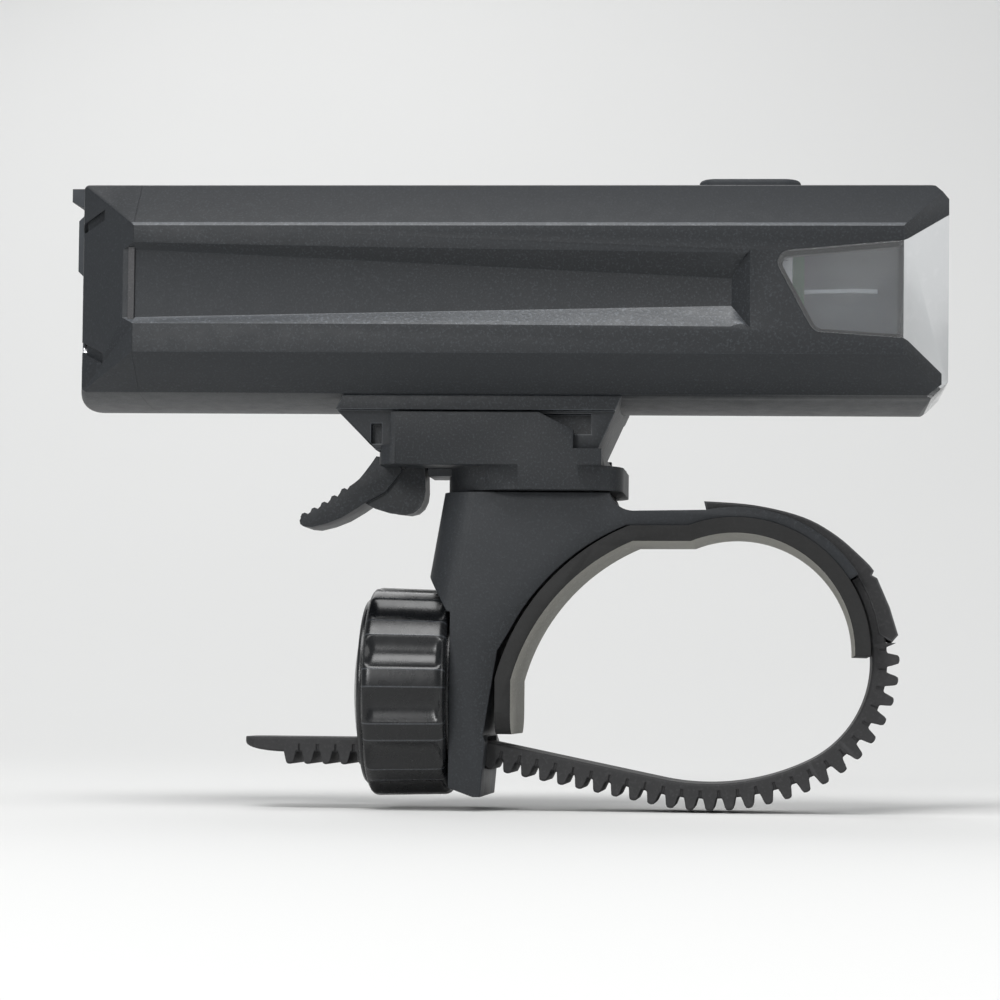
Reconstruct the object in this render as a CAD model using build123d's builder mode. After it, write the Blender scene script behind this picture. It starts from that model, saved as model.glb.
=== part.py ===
from build123d import *
import math
import os

# A rechargeable bike headlight on its handlebar clamp. The origin is the middle of the handlebar,
# +X is the way the beam points, +Y runs along the bar and +Z is up. Lengths are in millimetres.

# Handlebar and the rubber pad around it
bar_radius = 15.9
pad_thickness = 2.1
pad_width = 22.0
pad_start_angle = -1.0
pad_sweep_angle = 113.0
pad_corner_back = 13.7
pad_corner_rise = 14.7
pad_heel_back = 29.8
pad_heel_drop = 4.0
pad_heel_bulge = 2.85
pad_tail_drop = 11.2
pad_corner_radius = 3.0

# Clearances and angles
half_turn = 180
fit_gap = 0.05
slide_gap = 0.25
curved_gap = 0.3
overrun = 3.0

# Outer form of the light body
body_length = 115.6
body_nose = 27.8
body_floor = 34.1
body_height = 27.8
body_width = 35.0
flat_width = 25.0
crown = 1.4
crease = 0.3
upper_chamfer_height = 5.8
lower_chamfer_height = 4.9
rear_bevel_length = 7.8
nose_bevel_length = 6.1
nose_chamfer = 1.8
rear_bulge = 1.8
rear_edge_radius = 0.7
shell_wall = 2.0
cavity_width = 27.2

# Side grooves: depths and edge heights at the rear and at the front
groove_rear_depth = 1.0
groove_front_depth = 2.1
groove_rear_top = 54.5
groove_rear_floor_top = 52.8
groove_rear_floor_low = 43.6
groove_front_top = 53.0
groove_front_floor_top = 49.1
groove_front_floor_low = 45.5
groove_low = 41.9
groove_front = -0.8
groove_ramp = 2.6

# Clear lens with an ear on each side
lens_thickness = 2.2
ear_rear_top = 4.3
ear_rear_low = 10.0
ear_top_rear = 52.4
ear_top_front = 53.9
ear_low_rear = 41.9
ear_low_front = 41.1
ear_top_radius = 1.6
ear_low_radius = 1.8
band_top = 58.0
band_low = 36.9
band_lip = 0.9
plate_width = 23.2
lens_ledge = 0.6
window_front = 23.6

# Reflector, emitter and heat sink
chamber_top = 58.6
chamber_floor = 37.0
chamber_length = 7.0
gasket_thickness = 0.8
gasket_width = 1.0
reflector_depth = 16.0
reflector_gap = 0.3
cup_wall = 1.1
cup_throat = 3.8
side_rib = 0.5
led_board_thickness = 1.6
led_size = 5.0
led_thickness = 0.8
led_dome_radius = 1.9
sink_length = 5.4
sink_top = 59.0
fin_depth = 3.0
fin_gap = 1.7
fin_pitch = 3.4
fin_steps = 2
lead_radius = 0.5
lead_side = 3.0
lead_length = 3.8

# Battery and control board
cell_radius = 9.2
cell_length = 65.2
cell_front = -5.2
cell_height = 45.9
cell_cap_radius = 3.4
tab_thickness = 0.3
tab_width = 8.0
tab_foot = 41.0
cradle_height = 9.6
cradle_gap = 0.1
cradle_end = 1.6
post_size = 2.2
board_thickness = 1.2
board_width = 22.0
board_low = 56.6
board_front = 0.8
board_tongue_width = 11.0
board_tongue_rear = -85.4
chip_thickness = 1.2
chip_size = 5.0
chip_count = 5
chip_spacing = 11.0
chip_side = 5.5

# Power button
button_centre = 1.4
button_length = 13.8
button_width = 10.0
button_proud = 0.9
button_travel = 0.5
button_corner = 2.4
button_edge = 0.6
flange_reach = 1.0
flange_thickness = 0.8
flange_top = 60.75
switch_size = 6.0
switch_thickness = 1.5
plunger_radius = 1.3
plunger_length = 1.25
switch_x = -2.6

# Rear cap, charging port and the rubber cover on its hinge pin
cap_wall = 2.0
cap_cavity_width = 21.0
seal_depth = 0.8
seal_outer_inset = 0.7
seal_inner_inset = 1.6
recess_depth = 1.65
port_height = 55.0
port_width = 9.0
port_thickness = 3.2
port_shell = 0.35
port_length = 7.3
port_set_back = 0.3
tongue_width = 6.6
tongue_thickness = 0.7
tongue_set_back = 1.2
cap_screw_side = 10.3
cap_screw_height = 39.2
cap_screw_radius = 1.1
cap_screw_head_radius = 1.7
cap_screw_head = 1.3
cap_screw_length = 11.0
boss_inner_side = 7.9
boss_top = 41.6
boss_length = 7.6
notch_width = 1.4
notch_height = 55.1
notch_rise = 2.5
notch_start = 4.6
notch_depth = 0.6
cover_width = 15.0
cover_thickness = 1.6
cover_hinge_rise = 2.3
cover_top = 62.0
cover_bump = 0.75
cover_bump_width = 10.0
cover_bump_low = 51.4
cover_bump_top = 58.3
cover_tab = 1.95
cover_tab_width = 8.0
cover_tab_height = 1.8
plug_depth = 0.8
pocket_width = 12.0
pocket_height = 6.4
pocket_depth = 1.1
pin_radius = 0.5
cover_pin_radius = 0.35
cover_pin_grip = 1.4
cover_pin_set_in = 0.05

# Rail shoe under the light
shoe_front = -15.2
shoe_length = 38.4
shoe_flange_width = 23.8
shoe_flange_low = 32.0
shoe_width = 21.4
shoe_low = 26.6
shoe_front_slope = 3.4
shoe_rear_slope = 5.4
front_lean_share = 0.28
slot_neck_width = 7.6
slot_head_width = 13.6
slot_step = 29.0
slot_top = 31.4
slot_front = -20.7
shoe_screw_x = -28.0
shoe_screw_spacing = 13.0
shoe_screw_radius = 1.25
shoe_screw_head_radius = 2.2
shoe_screw_head = 0.8
shoe_screw_length = 4.4
pocket_front = -19.4
pocket_rear = -26.4
side_pocket_low = 28.9
side_pocket_top = 31.6
side_pocket_depth = 1.2
slit_width = 1.4

# Bracket
bracket_rear = -47.8
bracket_front = -21.7
bracket_toe = -17.9
bracket_width = 24.6
bracket_low = 24.7
bracket_floor = 26.3
cheek_top = 31.7
cheek_cut = 4.6
cheek_cut_drop = 2.3
cheek_step = 1.6
cheek_step_top = 27.3
toe_top = 26.9
bracket_corner = 2.5
swivel_x = -27.3
disc_radius = 12.1
disc_low = 21.4
disc_top = 24.8
skirt_rear = -35.0
skirt_corner = 6.0
tail_plate_rear = -42.0
tail_plate_thickness = 1.0
stud_rear = -41.0
stud_mid_rear = -31.0
stud_mid_front = -23.7
stud_front = -21.0

# Release lever
lever_pivot_x = -45.4
lever_pivot_z = 25.2
lever_eye_radius = 1.05
lever_pin_length = 17.0
lever_width = 9.4
leaf_width = 8.0
nose_reach = 3.5
nose_rise = 0.9
tongue_reach = 13.7
tongue_drop = 7.7
tongue_sag = 1.9
tip_thickness = 2.1
tip_radius = 0.7
leaf_radius = 1.4
root_reach = 4.9
root_drop = 5.3
leaf_front = 2.8
leaf_drop = 6.9
grip_height = 0.35
grip_pitch = 1.6
grip_count = 5

# Swivel screw and its nut
screw_radius = 1.95
screw_head_radius = 3.0
screw_head = 1.9
washer_thickness = 0.4
screw_pocket_floor = 23.6
screw_low = 10.6
socket_flats = 3.0
socket_depth = 1.2
nut_flats = 7.0
nut_sides = 6
nut_low = 11.2
nut_top = 14.2
nut_slot_width = 8.3

# Clamp: block under the light, column behind the bar and arm over the bar
clamp_width = 20.0
clamp_corner = 4.6
clamp_top = 21.2
clamp_shoulder = -39.4
clamp_hip_x = -41.3
clamp_hip_z = 10.0
clamp_chin_x = -40.9
clamp_chin_z = 9.3
column_back = -38.1
column_waist = 4.4
column_front = -33.5
column_foot = -19.6
foot_slope = 1.2
lip_front = -31.9
lip_top = -12.3
lip_rise = 0.9
seat_heel_x = -31.7
seat_low_x = -30.1
seat_low_z = 2.6
seat_mid_x = -24.9
seat_mid_z = 9.9
seat_top_x = -14.6
arm_thickness = 1.35
arm_end_angle = 33.0
arm_top_angle = 102.0
arm_back_x = -13.8
arm_back_z = 18.8
neck_x = -16.9

# Knob, hub and hub cap, about an axis along X
knob_height = -5.6
knob_radius = 14.2
knob_rear = -49.5
knob_front = -38.4
knob_bore = 12.0
knob_taper = 0.25
lobe_count = 12
lobe_turn = 7.7
lobe_groove_radius = 4.6
lobe_groove_depth = 0.9
knob_edge = 1.0
hub_screw_radius = 1.5
hub_screw_head_radius = 3.0
hub_screw_head = 1.3
hub_screw_reach = 3.4
cap_radius = 12.7
cap_rim = 0.7
cap_dome = 1.6
cap_dome_radius = 11.2
dome_share = 0.76
knob_pocket_gap = 0.4

# Strap
strap_width = 12.0
strap_thickness = 2.0
tooth_height = 1.65
tooth_root = 1.6
tooth_tip = 0.9
tooth_pitch = 2.48
tail_top = -11.9
tail_tip = -66.5
tail_split = -36.0
tail_plain = 6.4
tail_taper = 3.2
tail_corner = 2.4
slot_gap = 0.35
strap_bend_x = -34.9
strap_side_x = 3.38
strap_side_z = -1.02
strap_side_radius = 14.93
strap_side_angle = 12.0
strap_turn_angle = -64.0
strap_low_radius = 31.0
strap_leave_angle = -101.4
strap_reach = 18.3
band_step_angle = 0.3
loop_tooth_start = 2.45
band_start_x = -4.4
band_start_z = 20.4
band_mid_x = 8.9
band_mid_z = 18.35
band_end_x = 17.0
band_end_z = 12.8
hook_depth = 1.5
hook_x = 18.5
hook_z = 10.6
heel_x = 20.6
heel_z = 6.3
heel_low_x = 21.75
heel_low_z = 2.6
heel_angle = 8.0

# Derived places
body_rear = body_nose - body_length
body_top = body_floor + body_height
side_half = body_width / 2
flat_half = flat_width / 2
upper_crease = body_top - upper_chamfer_height
lower_crease = body_floor + lower_chamfer_height
seam = body_rear + rear_bevel_length
bevel_start = body_nose - nose_bevel_length
cavity_half = cavity_width / 2
lens_back = body_nose - lens_thickness
gasket_back = lens_back - gasket_thickness
nose_slope = side_half - flat_half
nose_edge = math.hypot(nose_slope, nose_bevel_length)
lens_inside = flat_half - lens_thickness * (nose_edge - nose_slope) / nose_bevel_length
chamber_half = lens_inside - slide_gap
chamber_rise = (chamber_top - chamber_floor) / 2
optic_height = chamber_floor + chamber_rise
cup_radius = min(chamber_half, chamber_rise) - reflector_gap - cup_wall
reflector_back = gasket_back - reflector_depth
led_board_back = reflector_back - led_board_thickness
sink_back = led_board_back - sink_length
board_top = board_low + board_thickness
lead_height = board_low - lead_radius
cap_face = body_rear - rear_bulge
cover_seat = cap_face + recess_depth
cap_inside = cover_seat + cap_wall
cover_hinge_height = body_floor + cover_hinge_rise
hinge_x = cover_seat - cover_pin_set_in
shoe_rear = shoe_front - shoe_length
hub_radius = knob_bore - curved_gap
strap_half = strap_width / 2
strap_root = tail_top - strap_thickness
arm_inside = bar_radius + pad_thickness + fit_gap
arm_outside = arm_inside + arm_thickness
pad_shelf = pad_corner_rise + pad_thickness + fit_gap
os.makedirs("parts", exist_ok=True)


def polar(radius, angle, centre=(0, 0)):
    """The point at radius and angle about centre."""
    turn = math.radians(angle)
    return (centre[0] + radius * math.cos(turn), centre[1] + radius * math.sin(turn))


def slab(x0, x1, y0, y1, z0, z1, mode=Mode.ADD):
    """A box in the current part, from one corner to the other."""
    with Locations(((x0 + x1) / 2, (y0 + y1) / 2, (z0 + z1) / 2)):
        Box(abs(x1 - x0), abs(y1 - y0), abs(z1 - z0), mode=mode)


def rod(x0, x1, y, z, radius, mode=Mode.ADD):
    """A cylinder along X in the current part."""
    with Locations(Location(((x0 + x1) / 2, y, z), (0, 90, 0))):
        Cylinder(radius, abs(x1 - x0), mode=mode)


def post(x, y, z0, z1, radius, mode=Mode.ADD):
    """A cylinder along Z in the current part."""
    with Locations((x, y, (z0 + z1) / 2)):
        Cylinder(radius, abs(z1 - z0), mode=mode)


def axle(x, z, y0, y1, radius, mode=Mode.ADD):
    """A cylinder along Y in the current part."""
    with Locations(Location((x, (y0 + y1) / 2, z), (90, 0, 0))):
        Cylinder(radius, abs(y1 - y0), mode=mode)


def draw_across(outline, width, mode=Mode.ADD):
    """Draws an outline in X and Z out to width about the middle plane, in the current part."""
    extrude(outline.moved(Location((0, width / 2, 0))), amount=width, mode=mode)


def profile(points, width, mode=Mode.ADD):
    """A straight-sided outline in X and Z, drawn out to width in the current part."""
    with BuildSketch(Plane.XZ) as outline:
        with BuildLine():
            Polyline(*points, close=True)
        make_face()
    draw_across(outline.sketch, width, mode)


def body_section(x, inset=0.0, width=body_width):
    """The light body's cross section at x, drawn in by inset and no wider than width."""
    with BuildSketch(Plane.YZ.offset(x)) as section:
        with BuildLine():
            right = Polyline(
                (flat_half, body_floor),
                (side_half, lower_crease),
                (side_half, upper_crease - crease),
                (side_half - crease, upper_crease + crease / 2),
                (flat_half, body_top),
            )
            top = ThreePointArc(right @ 1, (0, body_top + crown), (-flat_half, body_top))
            left = Polyline(
                top @ 1,
                (crease - side_half, upper_crease + crease / 2),
                (-side_half, upper_crease - crease),
                (-side_half, lower_crease),
                (-flat_half, body_floor),
            )
            ThreePointArc(left @ 1, (0, body_floor - crown), right @ 0)
        make_face()
        if inset:
            offset(amount=-inset, kind=Kind.INTERSECTION)
        Rectangle(width, 2 * (body_top + crown), mode=Mode.INTERSECT)
    return section.sketch


def body_plan(z, inset=0.0):
    """The light body's outline from above at z, drawn in by inset."""
    with BuildSketch(Plane.XY.offset(z)) as plan:
        with BuildLine():
            rear = ThreePointArc((body_rear, flat_half), (cap_face, 0), (body_rear, -flat_half))
            Polyline(
                rear @ 1,
                (seam, -side_half),
                (bevel_start, -side_half),
                (body_nose, -flat_half),
                (body_nose, flat_half),
                (bevel_start, side_half),
                (seam, side_half),
                rear @ 0,
            )
        make_face()
        if inset:
            offset(amount=-inset, kind=Kind.INTERSECTION)
    return plan.sketch


def teeth_around(centre, radius, start_angle, stop_angle, travelled):
    """The places of the strap's teeth on an arc, and how far past its end the next tooth is."""
    places = []
    length = radius * math.radians(start_angle - stop_angle)
    while travelled < length:
        angle = start_angle - math.degrees(travelled / radius)
        places.append(Location((*polar(radius, angle, centre), 0), angle - 90))
        travelled += tooth_pitch
    return places, travelled - length


def export(piece, label):
    """Labels a finished piece and writes it."""
    piece.label = label
    export_step(piece, f"parts/{label}.step")


# The whole light body: its section, plan and side view cut from one another
with BuildPart() as envelope:
    extrude(body_section(cap_face - overrun), amount=body_length + rear_bulge + 2 * overrun)
    below = body_floor - crown - overrun
    extrude(body_plan(below), amount=body_height + crown + 3 * overrun, mode=Mode.INTERSECT)
    profile(
        [
            (cap_face - overrun, body_floor - crown - overrun),
            (body_nose - nose_chamfer - crown - overrun, body_floor - crown - overrun),
            (body_nose, body_floor + nose_chamfer),
            (body_nose, body_top - nose_chamfer),
            (body_nose - nose_chamfer - crown - overrun, body_top + crown + overrun),
            (cap_face - overrun, body_top + crown + overrun),
        ],
        body_width + overrun,
        Mode.INTERSECT,
    )

# Clear lens: the nose of the body inside a goggle outline seen from the side, as a thin skin
with BuildSketch(Plane.XZ) as goggle:
    with BuildLine():
        Polyline(
            (body_nose, band_top),
            (bevel_start + lens_ledge, ear_top_front + crease),
            (bevel_start, ear_top_front),
            (ear_rear_top, ear_top_rear),
            (ear_rear_low, ear_low_rear),
            (bevel_start, ear_low_front),
            (bevel_start + lens_ledge, ear_low_front - crease),
            (body_nose - band_lip, band_low),
            (body_nose - band_lip, body_floor + nose_chamfer - band_lip / 2),
            (body_nose - nose_chamfer - band_lip, body_floor),
            (body_nose - nose_chamfer - band_lip, body_floor - crown),
            (body_nose, body_floor - crown),
            close=True,
        )
    make_face()
    fillet(goggle.vertices().sort_by(Axis.X)[0], ear_top_radius)
    fillet(goggle.vertices().sort_by_distance((ear_rear_low, ear_low_rear))[0], ear_low_radius)

with BuildPart() as lens_field:
    draw_across(goggle.sketch, body_width)
    extrude(body_plan(below, lens_thickness), amount=body_height + crown + 3 * overrun, mode=Mode.SUBTRACT)
    slab(lens_back, body_nose, -plate_width / 2, plate_width / 2, body_floor - crown, band_top)

with BuildPart() as lens:
    add(envelope.part)
    add(lens_field.part, mode=Mode.INTERSECT)
export(lens.part, "lens")

# The groove along each side, cut from the housing and the rear cap alike
with BuildPart() as side_grooves:
    for side in (1, -1):
        sections = []
        for x, depth, top, floor_top, floor_low in (
            (seam - overrun, groove_rear_depth, groove_rear_top, groove_rear_floor_top, groove_rear_floor_low),
            (groove_front, groove_front_depth, groove_front_top, groove_front_floor_top, groove_front_floor_low),
            (groove_front + groove_ramp, -fit_gap, groove_front_top, groove_front_top - crease, groove_low + crease),
        ):
            with BuildSketch(Plane.YZ.offset(x)) as cut:
                with BuildLine():
                    Polyline(
                        (side * (side_half + overrun), top + (top - floor_top)),
                        (side * (side_half - depth), floor_top),
                        (side * (side_half - depth), floor_low),
                        (side * (side_half + overrun), groove_low - (floor_low - groove_low)),
                        close=True,
                    )
                make_face()
            sections.append(cut.sketch)
        loft(sections, ruled=True)

# Housing: everything ahead of the seam, hollowed out
with BuildPart() as housing:
    add(envelope.part)
    split(bisect_by=Plane.YZ.offset(seam), keep=Keep.TOP)
    chamber_back = lens_back - chamber_length
    extrude(body_section(seam, shell_wall, cavity_width), amount=chamber_back - seam, mode=Mode.SUBTRACT)
    slab(chamber_back, lens_back, -chamber_half, chamber_half, chamber_floor, chamber_top, Mode.SUBTRACT)
    add(lens_field.part, mode=Mode.SUBTRACT)
    with BuildSketch(Plane.XZ) as window:
        add(goggle.sketch_local)
        with Locations((window_front + lens_ledge - body_length / 2, optic_height)):
            Rectangle(body_length, body_height, mode=Mode.INTERSECT)
        offset(amount=-lens_ledge, kind=Kind.INTERSECTION)
    draw_across(window.sketch, body_width, Mode.SUBTRACT)
    add(side_grooves.part, mode=Mode.SUBTRACT)
    for side in (1, -1):
        boss_back = seam + fit_gap
        slab(boss_back, boss_back + boss_length, side * boss_inner_side, side * (cavity_half + crease),
             body_floor + shell_wall, boss_top)
        rod(seam, seam + boss_length + overrun, side * cap_screw_side, cap_screw_height,
            cap_screw_radius + fit_gap, Mode.SUBTRACT)
    with BuildSketch(Plane.XY.offset(board_top)) as button_hole:
        with Locations((button_centre, 0)):
            RectangleRounded(button_length + 2 * slide_gap, button_width + 2 * slide_gap, button_corner + slide_gap)
    extrude(amount=body_height, mode=Mode.SUBTRACT)
    for x in (shoe_screw_x, shoe_screw_x - shoe_screw_spacing):
        post(x, 0, body_floor - crown - overrun, slot_top + shoe_screw_head + shoe_screw_length + fit_gap,
             shoe_screw_radius + fit_gap, Mode.SUBTRACT)
export(housing.part, "housing")

# Seal ring, let into the face of the rear cap
with BuildPart() as rear_gasket:
    extrude(body_section(seam - seal_depth, seal_outer_inset), amount=seal_depth)
    extrude(body_section(seam - seal_depth, seal_inner_inset), amount=seal_depth, mode=Mode.SUBTRACT)
export(rear_gasket.part, "rear_gasket")

# Slanted notches in the skin of the rear cap, above and below
with BuildPart() as cap_notches:
    for rise, height in ((notch_rise, notch_height), (-notch_rise, body_floor + body_top - notch_height)):
        inner = seam - notch_start
        profile(
            [
                (cap_face, height - notch_width / 2),
                (inner, height + rise - notch_width / 2),
                (inner, height + rise + notch_width / 2),
                (cap_face, height + notch_width / 2),
            ],
            body_width,
        )
    extrude(body_plan(below, notch_depth), amount=body_height + crown + 3 * overrun, mode=Mode.SUBTRACT)

# Rear cap with the port slot and a recess for the rubber cover, which turns on a pin across it
cover_half = cover_width / 2
recess_half = cover_half + slide_gap
pin_half = recess_half + cover_pin_grip
foot_radius = cover_thickness / 2
cover_swing = hinge_x - cap_face + slide_gap
with BuildPart() as rear_cap:
    add(envelope.part)
    split(bisect_by=Plane.YZ.offset(seam), keep=Keep.BOTTOM)
    fillet(rear_cap.edges().filter_by(GeomType.LINE, reverse=True).group_by(Axis.X)[0], rear_edge_radius)
    cap_section = body_section(cap_inside, shell_wall, cap_cavity_width)
    extrude(cap_section, amount=seam - cap_inside, mode=Mode.SUBTRACT)
    slab(cap_face - overrun, cover_seat, -recess_half, recess_half, cover_hinge_height - cover_swing,
         body_top + crown, Mode.SUBTRACT)
    axle(hinge_x, cover_hinge_height, -recess_half, recess_half, foot_radius + curved_gap, Mode.SUBTRACT)
    for side in (1, -1):
        rod(cap_face - overrun, body_rear + cap_screw_head, side * cap_screw_side, cap_screw_height,
            cap_screw_head_radius + fit_gap, Mode.SUBTRACT)
        rod(cap_face, seam, side * cap_screw_side, cap_screw_height, cap_screw_radius + fit_gap, Mode.SUBTRACT)
    add(cap_notches.part, mode=Mode.SUBTRACT)
    add(side_grooves.part, mode=Mode.SUBTRACT)
    axle(hinge_x, cover_hinge_height, -pin_half, pin_half, cover_pin_radius, Mode.SUBTRACT)
    with BuildSketch(Plane.YZ.offset(cap_face)):
        with Locations((0, port_height)):
            SlotOverall(port_width + 2 * slide_gap, port_thickness + 2 * slide_gap)
    extrude(amount=cap_inside - cap_face + fit_gap, mode=Mode.SUBTRACT)
    with BuildSketch(Plane.YZ.offset(cap_face)):
        with Locations((0, port_height)):
            RectangleRounded(pocket_width, pocket_height, pocket_height / 3)
    extrude(amount=recess_depth + pocket_depth, mode=Mode.SUBTRACT)
    add(rear_gasket.part, mode=Mode.SUBTRACT)
export(rear_cap.part, "rear_cap")

with BuildPart() as flap_pin:
    axle(hinge_x, cover_hinge_height, -pin_half, pin_half, cover_pin_radius)
export(flap_pin.part, "flap_pin")

with BuildPart() as rear_cap_screws:
    for side in (1, -1):
        rod(body_rear, body_rear + cap_screw_head, side * cap_screw_side, cap_screw_height, cap_screw_head_radius)
        rod(body_rear + cap_screw_head, body_rear + cap_screw_length, side * cap_screw_side, cap_screw_height,
            cap_screw_radius)
        slab(body_rear, body_rear + cap_screw_head / 2, side * (cap_screw_side - cap_screw_head_radius),
             side * (cap_screw_side + cap_screw_head_radius), cap_screw_height - pin_radius / 2,
             cap_screw_height + pin_radius / 2, Mode.SUBTRACT)
export(rear_cap_screws.part, "rear_cap_screws")

# Rubber cover of the port: a plate that follows the cap, with a bump, a pull tab, a plug and a round foot
cover_front = cover_seat - fit_gap
cover_back = cover_front - cover_thickness
bump_back = cover_back - cover_bump
tab_back = cover_back - cover_tab
tab_half = cover_tab_height / 2
with BuildPart() as port_cover:
    slab(cover_back, cover_front, -cover_half, cover_half, cover_hinge_height, cover_top)
    add(envelope.part, mode=Mode.INTERSECT)
    profile(
        [
            (cover_front, cover_bump_low - cover_bump),
            (cover_back, cover_bump_low - cover_bump),
            (bump_back, cover_bump_low),
            (bump_back, cover_bump_top),
            (cover_back, cover_bump_top + cover_bump),
            (cover_front, cover_bump_top + cover_bump),
        ],
        cover_bump_width,
    )
    profile(
        [
            (cover_front, cover_top - cover_tab_height),
            (cover_back, cover_top - cover_tab_height),
            (tab_back, cover_top - tab_half),
            (tab_back, cover_top + tab_half),
            (cover_back, cover_top + tab_half),
            (cover_front, cover_top),
        ],
        cover_tab_width,
    )
    axle(hinge_x, cover_hinge_height, -cover_half, cover_half, foot_radius)
    axle(hinge_x, cover_hinge_height, -cover_half, cover_half, cover_pin_radius + fit_gap, Mode.SUBTRACT)
    plug_gap = 2 * curved_gap
    with BuildSketch(Plane.YZ.offset(cover_front)):
        with Locations((0, port_height)):
            RectangleRounded(pocket_width - plug_gap, pocket_height - plug_gap, pocket_height / 3 - curved_gap)
    extrude(amount=plug_depth)
export(port_cover.part, "port_cover")

# Charging port, under the tongue of the board
port_rear = cover_seat + pocket_depth + port_set_back
with BuildPart() as usb_port:
    with BuildSketch(Plane.YZ.offset(port_rear)):
        with Locations((0, port_height)):
            SlotOverall(port_width, port_thickness)
    extrude(amount=port_length)
    with BuildSketch(Plane.YZ.offset(port_rear)):
        with Locations((0, port_height)):
            SlotOverall(port_width - 2 * port_shell, port_thickness - 2 * port_shell)
    extrude(amount=port_length - port_shell, mode=Mode.SUBTRACT)
    slab(port_rear + tongue_set_back, port_rear + port_length, -tongue_width / 2, tongue_width / 2,
         port_height - tongue_thickness / 2, port_height + tongue_thickness / 2)
export(usb_port.part, "usb_port")

# Optics: seal behind the lens, reflector, emitter on its board and the heat sink
with BuildPart() as lens_gasket:
    slab(gasket_back, lens_back, -chamber_half, chamber_half, chamber_floor, chamber_top)
    slab(gasket_back, lens_back, gasket_width - chamber_half, chamber_half - gasket_width,
         chamber_floor + gasket_width, chamber_top - gasket_width, Mode.SUBTRACT)
export(lens_gasket.part, "lens_gasket")

reflector_half = chamber_half - reflector_gap
reflector_low = chamber_floor + reflector_gap
reflector_top = chamber_top - reflector_gap
with BuildPart() as reflector:
    slab(reflector_back, gasket_back, -reflector_half, reflector_half, reflector_low, reflector_top)
    rib = side_rib / 2
    for side in (1, -1):
        slab(reflector_back, chamber_back, side * reflector_half, side * (reflector_half + side_rib),
             optic_height - rib, optic_height + rib)
    with BuildSketch(Plane.XZ) as cup:
        with BuildLine():
            mouth = (gasket_back, optic_height + cup_radius)
            throat = (reflector_back + led_thickness, optic_height + cup_throat)
            middle = (reflector_back + reflector_depth / 3, optic_height + (cup_radius + cup_throat) / 2)
            ThreePointArc(mouth, middle, throat)
            Polyline(throat, (reflector_back, optic_height + cup_throat), (reflector_back, optic_height),
                     (gasket_back, optic_height), mouth)
        make_face()
    revolve(cup.sketch, axis=Axis((0, 0, optic_height), (1, 0, 0)), mode=Mode.SUBTRACT)
export(reflector.part, "reflector")

board_half = reflector_half - reflector_gap
with BuildPart() as led_board:
    slab(led_board_back, reflector_back, -board_half, board_half, reflector_low, reflector_top)
export(led_board.part, "led_board")

with BuildPart() as led_emitter:
    half = led_size / 2
    slab(reflector_back, reflector_back + led_thickness, -half, half, optic_height - half, optic_height + half)
    with Locations((reflector_back + led_thickness, 0, optic_height)):
        Sphere(led_dome_radius)
    split(bisect_by=Plane.YZ.offset(reflector_back), keep=Keep.TOP)
export(led_emitter.part, "led_emitter")

with BuildPart() as heat_sink:
    extrude(body_section(sink_back, shell_wall + fit_gap, cavity_width - 2 * fit_gap), amount=sink_length)
    slab(sink_back, led_board_back, -cavity_half, cavity_half, sink_top, body_top + crown, Mode.SUBTRACT)
    notch_half = lead_side + lead_radius + slide_gap
    slab(sink_back, led_board_back, -notch_half, notch_half, lead_height - lead_radius - slide_gap, sink_top,
         Mode.SUBTRACT)
    for step in range(-fin_steps, fin_steps + 1):
        z = optic_height + step * fin_pitch
        slab(sink_back, sink_back + fin_depth, -cavity_half, cavity_half, z - fin_gap / 2, z + fin_gap / 2,
             Mode.SUBTRACT)
export(heat_sink.part, "heat_sink")

# Battery in its cradle, with a contact tab at each end
cell_rear = cell_front - cell_length
with BuildPart() as battery_cell:
    rod(cell_rear, cell_front - tab_thickness, 0, cell_height, cell_radius)
    chamfer(battery_cell.edges().filter_by(GeomType.CIRCLE), tab_thickness)
    rod(cell_front - tab_thickness, cell_front, 0, cell_height, cell_cap_radius)
export(battery_cell.part, "battery_cell")

cradle_rear = cell_rear - tab_thickness - fit_gap
cradle_front = cell_front + tab_thickness + fit_gap
cradle_floor = body_floor + shell_wall
cradle_top = cradle_floor + cradle_height
shoe_screw_top = slot_top + shoe_screw_head + shoe_screw_length
with BuildPart() as battery_cradle:
    cradle_section = body_section(cradle_rear - cradle_end, shell_wall + fit_gap, cavity_width - 2 * fit_gap)
    extrude(cradle_section, amount=cradle_front - cradle_rear + 2 * cradle_end)
    slab(seam, body_nose, -cavity_half, cavity_half, cradle_top, body_top + crown, Mode.SUBTRACT)
    rod(cradle_rear, cradle_front, 0, cell_height, cell_radius + cradle_gap, Mode.SUBTRACT)
    post_side = cell_radius + cradle_gap + fit_gap
    for side in (1, -1):
        for x in (cradle_rear - cradle_end, cradle_front + cradle_end - post_size):
            slab(x, x + post_size, side * post_side, side * (post_side + post_size), cradle_floor, board_low)
    for x in (shoe_screw_x, shoe_screw_x - shoe_screw_spacing):
        post(x, 0, cradle_floor - crown, shoe_screw_top + curved_gap, shoe_screw_radius + curved_gap, Mode.SUBTRACT)
export(battery_cradle.part, "battery_cradle")

with BuildPart() as cell_tabs:
    for x in (cell_front, cell_rear - tab_thickness):
        slab(x, x + tab_thickness, -tab_width / 2, tab_width / 2, cradle_top + tab_thickness, board_low)
export(cell_tabs.part, "cell_tabs")

# Control board with its chips, the leads to the emitter board and the switch under the button
with BuildPart() as control_board:
    slab(seam + overrun, board_front, -board_width / 2, board_width / 2, board_low, board_top)
    slab(board_tongue_rear, seam + overrun, -board_tongue_width / 2, board_tongue_width / 2, board_low, board_top)
export(control_board.part, "control_board")

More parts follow.
